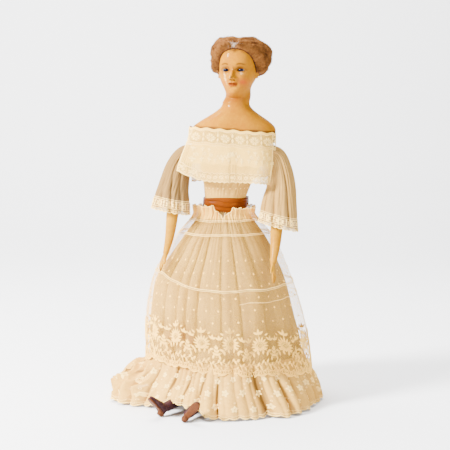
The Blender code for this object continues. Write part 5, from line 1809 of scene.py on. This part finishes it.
def makeBow():
    z = skirt["waistZ"] + bodice["sashHeight"] * 0.62
    back = bodice["waist"][1] + 0.0066
    x = bodice["waistX"]
    onNet = 0.2625  # the ends lie on the net below this height
    across, along = 7, 60
    rows, cloths, faces, count = [], [], [], 0
    down = np.linspace(0, 1, along)
    # the two loops, narrowed at the knot
    width = np.interp(down, (0, 0.15, 0.5, 0.85, 1), (0.004, 0.012, 0.0135, 0.012, 0.004))
    for sign, length in ((-1, 0.024), (1, 0.034)):
        loop = ((x, back + 0.001, z), (x + sign * length * 0.45, back + 0.004, z + 0.001),
                (x + sign * length, back + 0.0005, z - 0.0005),
                (x + sign * length * 0.5, back - 0.0030, z - 0.001), (x, back - 0.001, z))
        path = smoothThrough(loop, along)
        t = np.linspace(-0.5, 0.5, across)[:, None, None]
        rows.append(path[None] + np.array([0, 0, 1.0]) * t * width[None, :, None])
        cloths.append(np.stack([np.broadcast_to(np.linspace(0, 0.07, along)[None, :], (across, along)),
                                np.broadcast_to(t[:, :, 0] * 0.02, (across, along))], -1))
    # ends that come over the net's frill and lie down its back
    for angle, length, width in ((84.5 * deg + math.pi / 2, 0.078, 0.0120),
                                 (74 * deg + math.pi / 2 + 0.42, 0.070, 0.0115)):
        lean = 0.10 if angle > 3.0 else -0.06
        heights = z - 0.004 - down * length
        spread = np.linspace(-0.5, 0.5, across)[:, None]
        wide = width * np.interp(down, (0, 0.15, 1), (0.45, 1, 1))
        reach = np.linalg.norm(netPoint(angle + 0 * down, np.minimum(heights, onNet))[:, :2], axis=1)
        local = angle + lean * down[None, :] + spread * wide[None, :] / np.maximum(0.045, reach)[None, :]
        level = np.broadcast_to(heights[None, :], local.shape)
        lift = 0.0012 + 0.0006 * np.sin(9 * down)[None, :] + 0 * local
        surface = liftedFrom(netPoint, local, np.minimum(level, onNet), lift)
        surface[..., 2] = level
        surface[..., 1] = np.where(level > onNet, back + 0.0030 + 0.06 * (level - onNet), surface[..., 1])
        rows.append(surface)
        cloths.append(np.stack([np.broadcast_to(down[None, :] * length, local.shape),
                                np.broadcast_to(spread * 0.02, local.shape)], -1))
    points, cloth = [], []
    for part, flat in zip(rows, cloths):
        points.append(part.reshape(-1, 3))
        cloth.append(flat.reshape(-1, 2))
        faces.extend((gridFaces(across, along) + count).tolist())
        count += across * along
    points = np.concatenate(points)
    shade = np.full(len(points), 0.25)
    shade[: 2 * across * along] = 0.45
    bow = makePiece("satin_bow", points, faces, satin, np.concatenate(cloth),
                    masks={"foldShade": shade}, replaces=["sash_bow"])
    pile = Pile()
    t = np.linspace(-1, 1, 22)
    knotPath = np.stack([x + 0.0052 * t, back + 0.0028 - 0.0022 * t**2, z + 0.0008 * np.sin(3 * t)], 1)
    hose(pile, knotPath, 0.0058 * np.sqrt(np.maximum(1 - 0.55 * t**2, 0.05)), 20, flat=0.55, up=(0, 0, 1))
    knotPoints = pile.allPoints()
    knot = makePiece("satin_knot", knotPoints, pile.faces, satin, knotPoints[:, [0, 2]],
                     masks={"foldShade": np.full(len(knotPoints), 0.3)})


makeSash()
makeBow()
print("sash made")


# boots

def makeLeather(name, dark, light, worn):
    finish, tree, shader = startFinish(name, 0.5, Specular_IOR_Level=0.06)
    place = ownPlace(tree)
    grain = addNoise(tree, place, 1100.0, 3.0)
    broad = addNoise(tree, place, 150.0, 4.0)
    colour = addMix(tree, broad, dark, light)
    colour = addMix(tree, stretched(tree, grain, 1.6, -0.75), colour, worn)
    tree.links.new(colour, shader.inputs["Base Color"])
    addBump(tree, shader, grain, 0.4, 0.0003)
    return finish


boots = {
    "right": {"heel": (-0.092, -0.119), "rest": 0.0050, "toe": (-0.36, -0.50, 0.62),
              "sole": (-0.70, -0.60, -0.60)},
    "left": {"heel": (-0.060, -0.148), "rest": 0.0050, "toe": (0.42, -0.42, 0.58),
             "sole": (-0.50, -0.75, -0.60)},
}
bootSizes = {"length": 0.034, "width": 0.0105, "heel": 0.0045, "shaft": 0.0075}


def makeBoots():
    soleFinish = makeLeather("tan sole leather", (0.045, 0.013, 0.005), (0.10, 0.032, 0.011),
                             (0.17, 0.060, 0.020))
    upperFinish = makeLeather("dark boot leather", (0.014, 0.006, 0.010), (0.040, 0.014, 0.018),
                              (0.12, 0.045, 0.022))
    rows, columns, heelColumns = 46, 32, 20
    for side, stand in boots.items():
        toe = np.array(stand["toe"]) / np.linalg.norm(stand["toe"])
        sole = np.array(stand["sole"])
        sole = sole - toe * sole.dot(toe)
        sole /= np.linalg.norm(sole)
        across = np.cross(toe, sole)
        heel = np.array([*stand["heel"], stand["rest"]])
        length, width = bootSizes["length"], bootSizes["width"]
        shape = smoothThrough(((-0.12, 0.24, 0.55), (-0.06, 0.33, 0.90), (0.05, 0.37, 1.05),
                               (0.25, 0.33, 1.02), (0.5, 0.37, 0.80),
                               (0.75, 0.46, 0.58), (0.93, 0.36, 0.40), (1.02, 0.14, 0.22)), rows)
        angle = 2 * math.pi * np.arange(columns) / columns
        rings = []
        for share, half, tall in shape:
            height = tall * width * 0.5
            middle = heel + toe * length * share - sole * (height + 0.0006)
            x, y = superOval(angle, half * width, height, 2.3)
            rings.append(middle + np.outer(x, across) + np.outer(y, sole))
        upper = Pile()
        upper.add(np.concatenate(rings), closedFaces(rows, columns))
        inward = np.array([-heel[0], -heel[1], 0.020])
        inward /= np.linalg.norm(inward)
        start = heel - sole * width * 0.5 + toe * length * 0.08
        start[2] = max(start[2], bootSizes["shaft"] + 0.0016)
        t = np.linspace(0, 1, 30)[:, None]
        shaft = start + inward * 0.046 * t
        wrinkles = 1 + 0.03 * np.sin(40 * t[:, 0]) * (t[:, 0] < 0.5)
        radius = bootSizes["shaft"] * np.interp(t[:, 0], (0, 0.25, 1), (0.72, 0.90, 1.0)) * wrinkles
        hose(upper, shaft, radius, 26)
        # laces up the front of the ankle
        for k in range(5):
            at = start + inward * (0.005 + 0.0042 * k)
            b = np.linspace(-0.9, 0.9, 9)
            lace = (at + np.outer(np.sin(b), across) * bootSizes["shaft"] * 0.95
                    - np.outer(np.cos(b), sole) * bootSizes["shaft"] * 0.95)
            hose(upper, lace, 0.0005, 5)
        makePiece(f"boot_upper_{side}", upper.allPoints(), upper.faces, upperFinish,
                  replaces=[f"boot_{side}"])
        # the sole, its welt and the stacked heel
        under = Pile()
        outline = np.array([(share * length, half * width * 1.10) for share, half, _ in shape])
        outline = outline[outline[:, 0] > -0.10 * length]
        n = len(outline)
        layers = []
        for depth, grow in ((-0.0004, 1.0), (0.0, 1.06), (0.0010, 1.06), (0.0016, 0.98)):
            for x in (-1, -0.5, 0, 0.5, 1):
                arch = 0.0011 * hump(outline[:, 0] / length - 0.32, 0.16)
                layers.append(heel + np.outer(outline[:, 0], toe) + np.outer(outline[:, 1] * x * grow, across)
                              + np.outer(depth - arch, sole))
        grid = np.array(layers).reshape(4, 5, n, 3)
        loop = np.concatenate([grid[3], grid[2][::-1][:1], grid[1][::-1][:1], grid[0][::-1], grid[1][:1],
                               grid[2][:1]])
        k = len(loop)
        under.add(loop.reshape(-1, 3), closedStrip(k, n))
        angle = 2 * math.pi * np.arange(heelColumns) / heelColumns
        stack = []
        for depth, grow in ((-0.001, 1.0), (0.0012, 1.0), (0.0013, 0.96), (0.0026, 0.95), (0.0027, 0.92),
                            (0.0044, 0.90)):
            x, y = superOval(angle, width * 0.36 * grow, length * 0.13 * grow, 2.6)
            stack.append(heel + toe * length * 0.03 + sole * depth + np.outer(x, across) + np.outer(y, toe))
        under.add(np.concatenate(stack), closedFaces(len(stack), heelColumns))
        makePiece(f"boot_sole_{side}", under.allPoints(), under.faces, soleFinish)


def closedStrip(rows, columns):
    # Faces of a tube whose rows close on themselves, with both ends filled
    faces = []
    for i in range(rows):
        for j in range(columns - 1):
            k = (i + 1) % rows
            faces.append((i * columns + j, k * columns + j, k * columns + j + 1, i * columns + j + 1))
    faces.append([i * columns for i in range(rows)][::-1])
    faces.append([i * columns + columns - 1 for i in range(rows)])
    return faces


makeBoots()
print("boots made")


# floor, light and camera

studio = {
    "camera": (-0.0083, -1.8, 0.436), "pitch": 6.2, "lens": 104.6,
    "floor": (0.80, 0.80, 0.805),
    "lights": (
        ("key", (-2.0, -1.15, 1.45), 0.6, 470.0), ("fill", (1.6, -1.9, 0.8), 1.6, 52.0),
        ("top", (-0.3, 0.6, 2.2), 1.6, 190.0),
    ),
}


def makeStudio():
    profile = [(-3.0, 0.0), (1.4, 0.0), (1.7, 0.03), (1.95, 0.13), (2.1, 0.32), (2.16, 0.6), (2.18, 2.8)]
    ys, zs = np.array(profile).T
    xs = np.linspace(-3, 3, 9)
    points = np.stack([np.broadcast_to(xs[None, :], (len(ys), 9)), np.broadcast_to(ys[:, None], (len(ys), 9)),
                       np.broadcast_to(zs[:, None], (len(ys), 9))], -1).reshape(-1, 3)
    mesh = bpy.data.meshes.new("backdrop")
    mesh.from_pydata(points.tolist(), [], gridFaces(len(ys), 9).tolist())
    mesh.shade_smooth()
    finish, _, shader = startFinish("pale paper", 0.9)
    shader.inputs["Base Color"].default_value = (*studio["floor"], 1)
    mesh.materials.append(finish)
    backdrop = bpy.data.objects.new("backdrop", mesh)
    intoScene(backdrop)
    for name, place, size, power in studio["lights"]:
        light = bpy.data.lights.new(name, "AREA")
        light.energy = power
        light.size = size
        lamp = bpy.data.objects.new(name, light)
        lamp.location = place
        lamp.rotation_euler = (Vector((0, 0, 0.22)) - Vector(place)).to_track_quat("-Z", "Y").to_euler()
        intoScene(lamp)
    world = bpy.data.worlds.new("soft room")
    world.use_nodes = True
    world.node_tree.nodes["Background"].inputs[0].default_value = (0.95, 0.97, 1.0, 1)
    world.node_tree.nodes["Background"].inputs[1].default_value = 0.50
    bpy.context.scene.world = world
    camera = bpy.data.objects.new("camera", bpy.data.cameras.new("camera"))
    camera.location = studio["camera"]
    camera.rotation_euler = ((90 - studio["pitch"]) * deg, 0, 0)
    camera.data.lens = studio["lens"]
    camera.data.sensor_width = 36
    intoScene(camera)
    bpy.context.scene.camera = camera


makeStudio()
print("studio made")
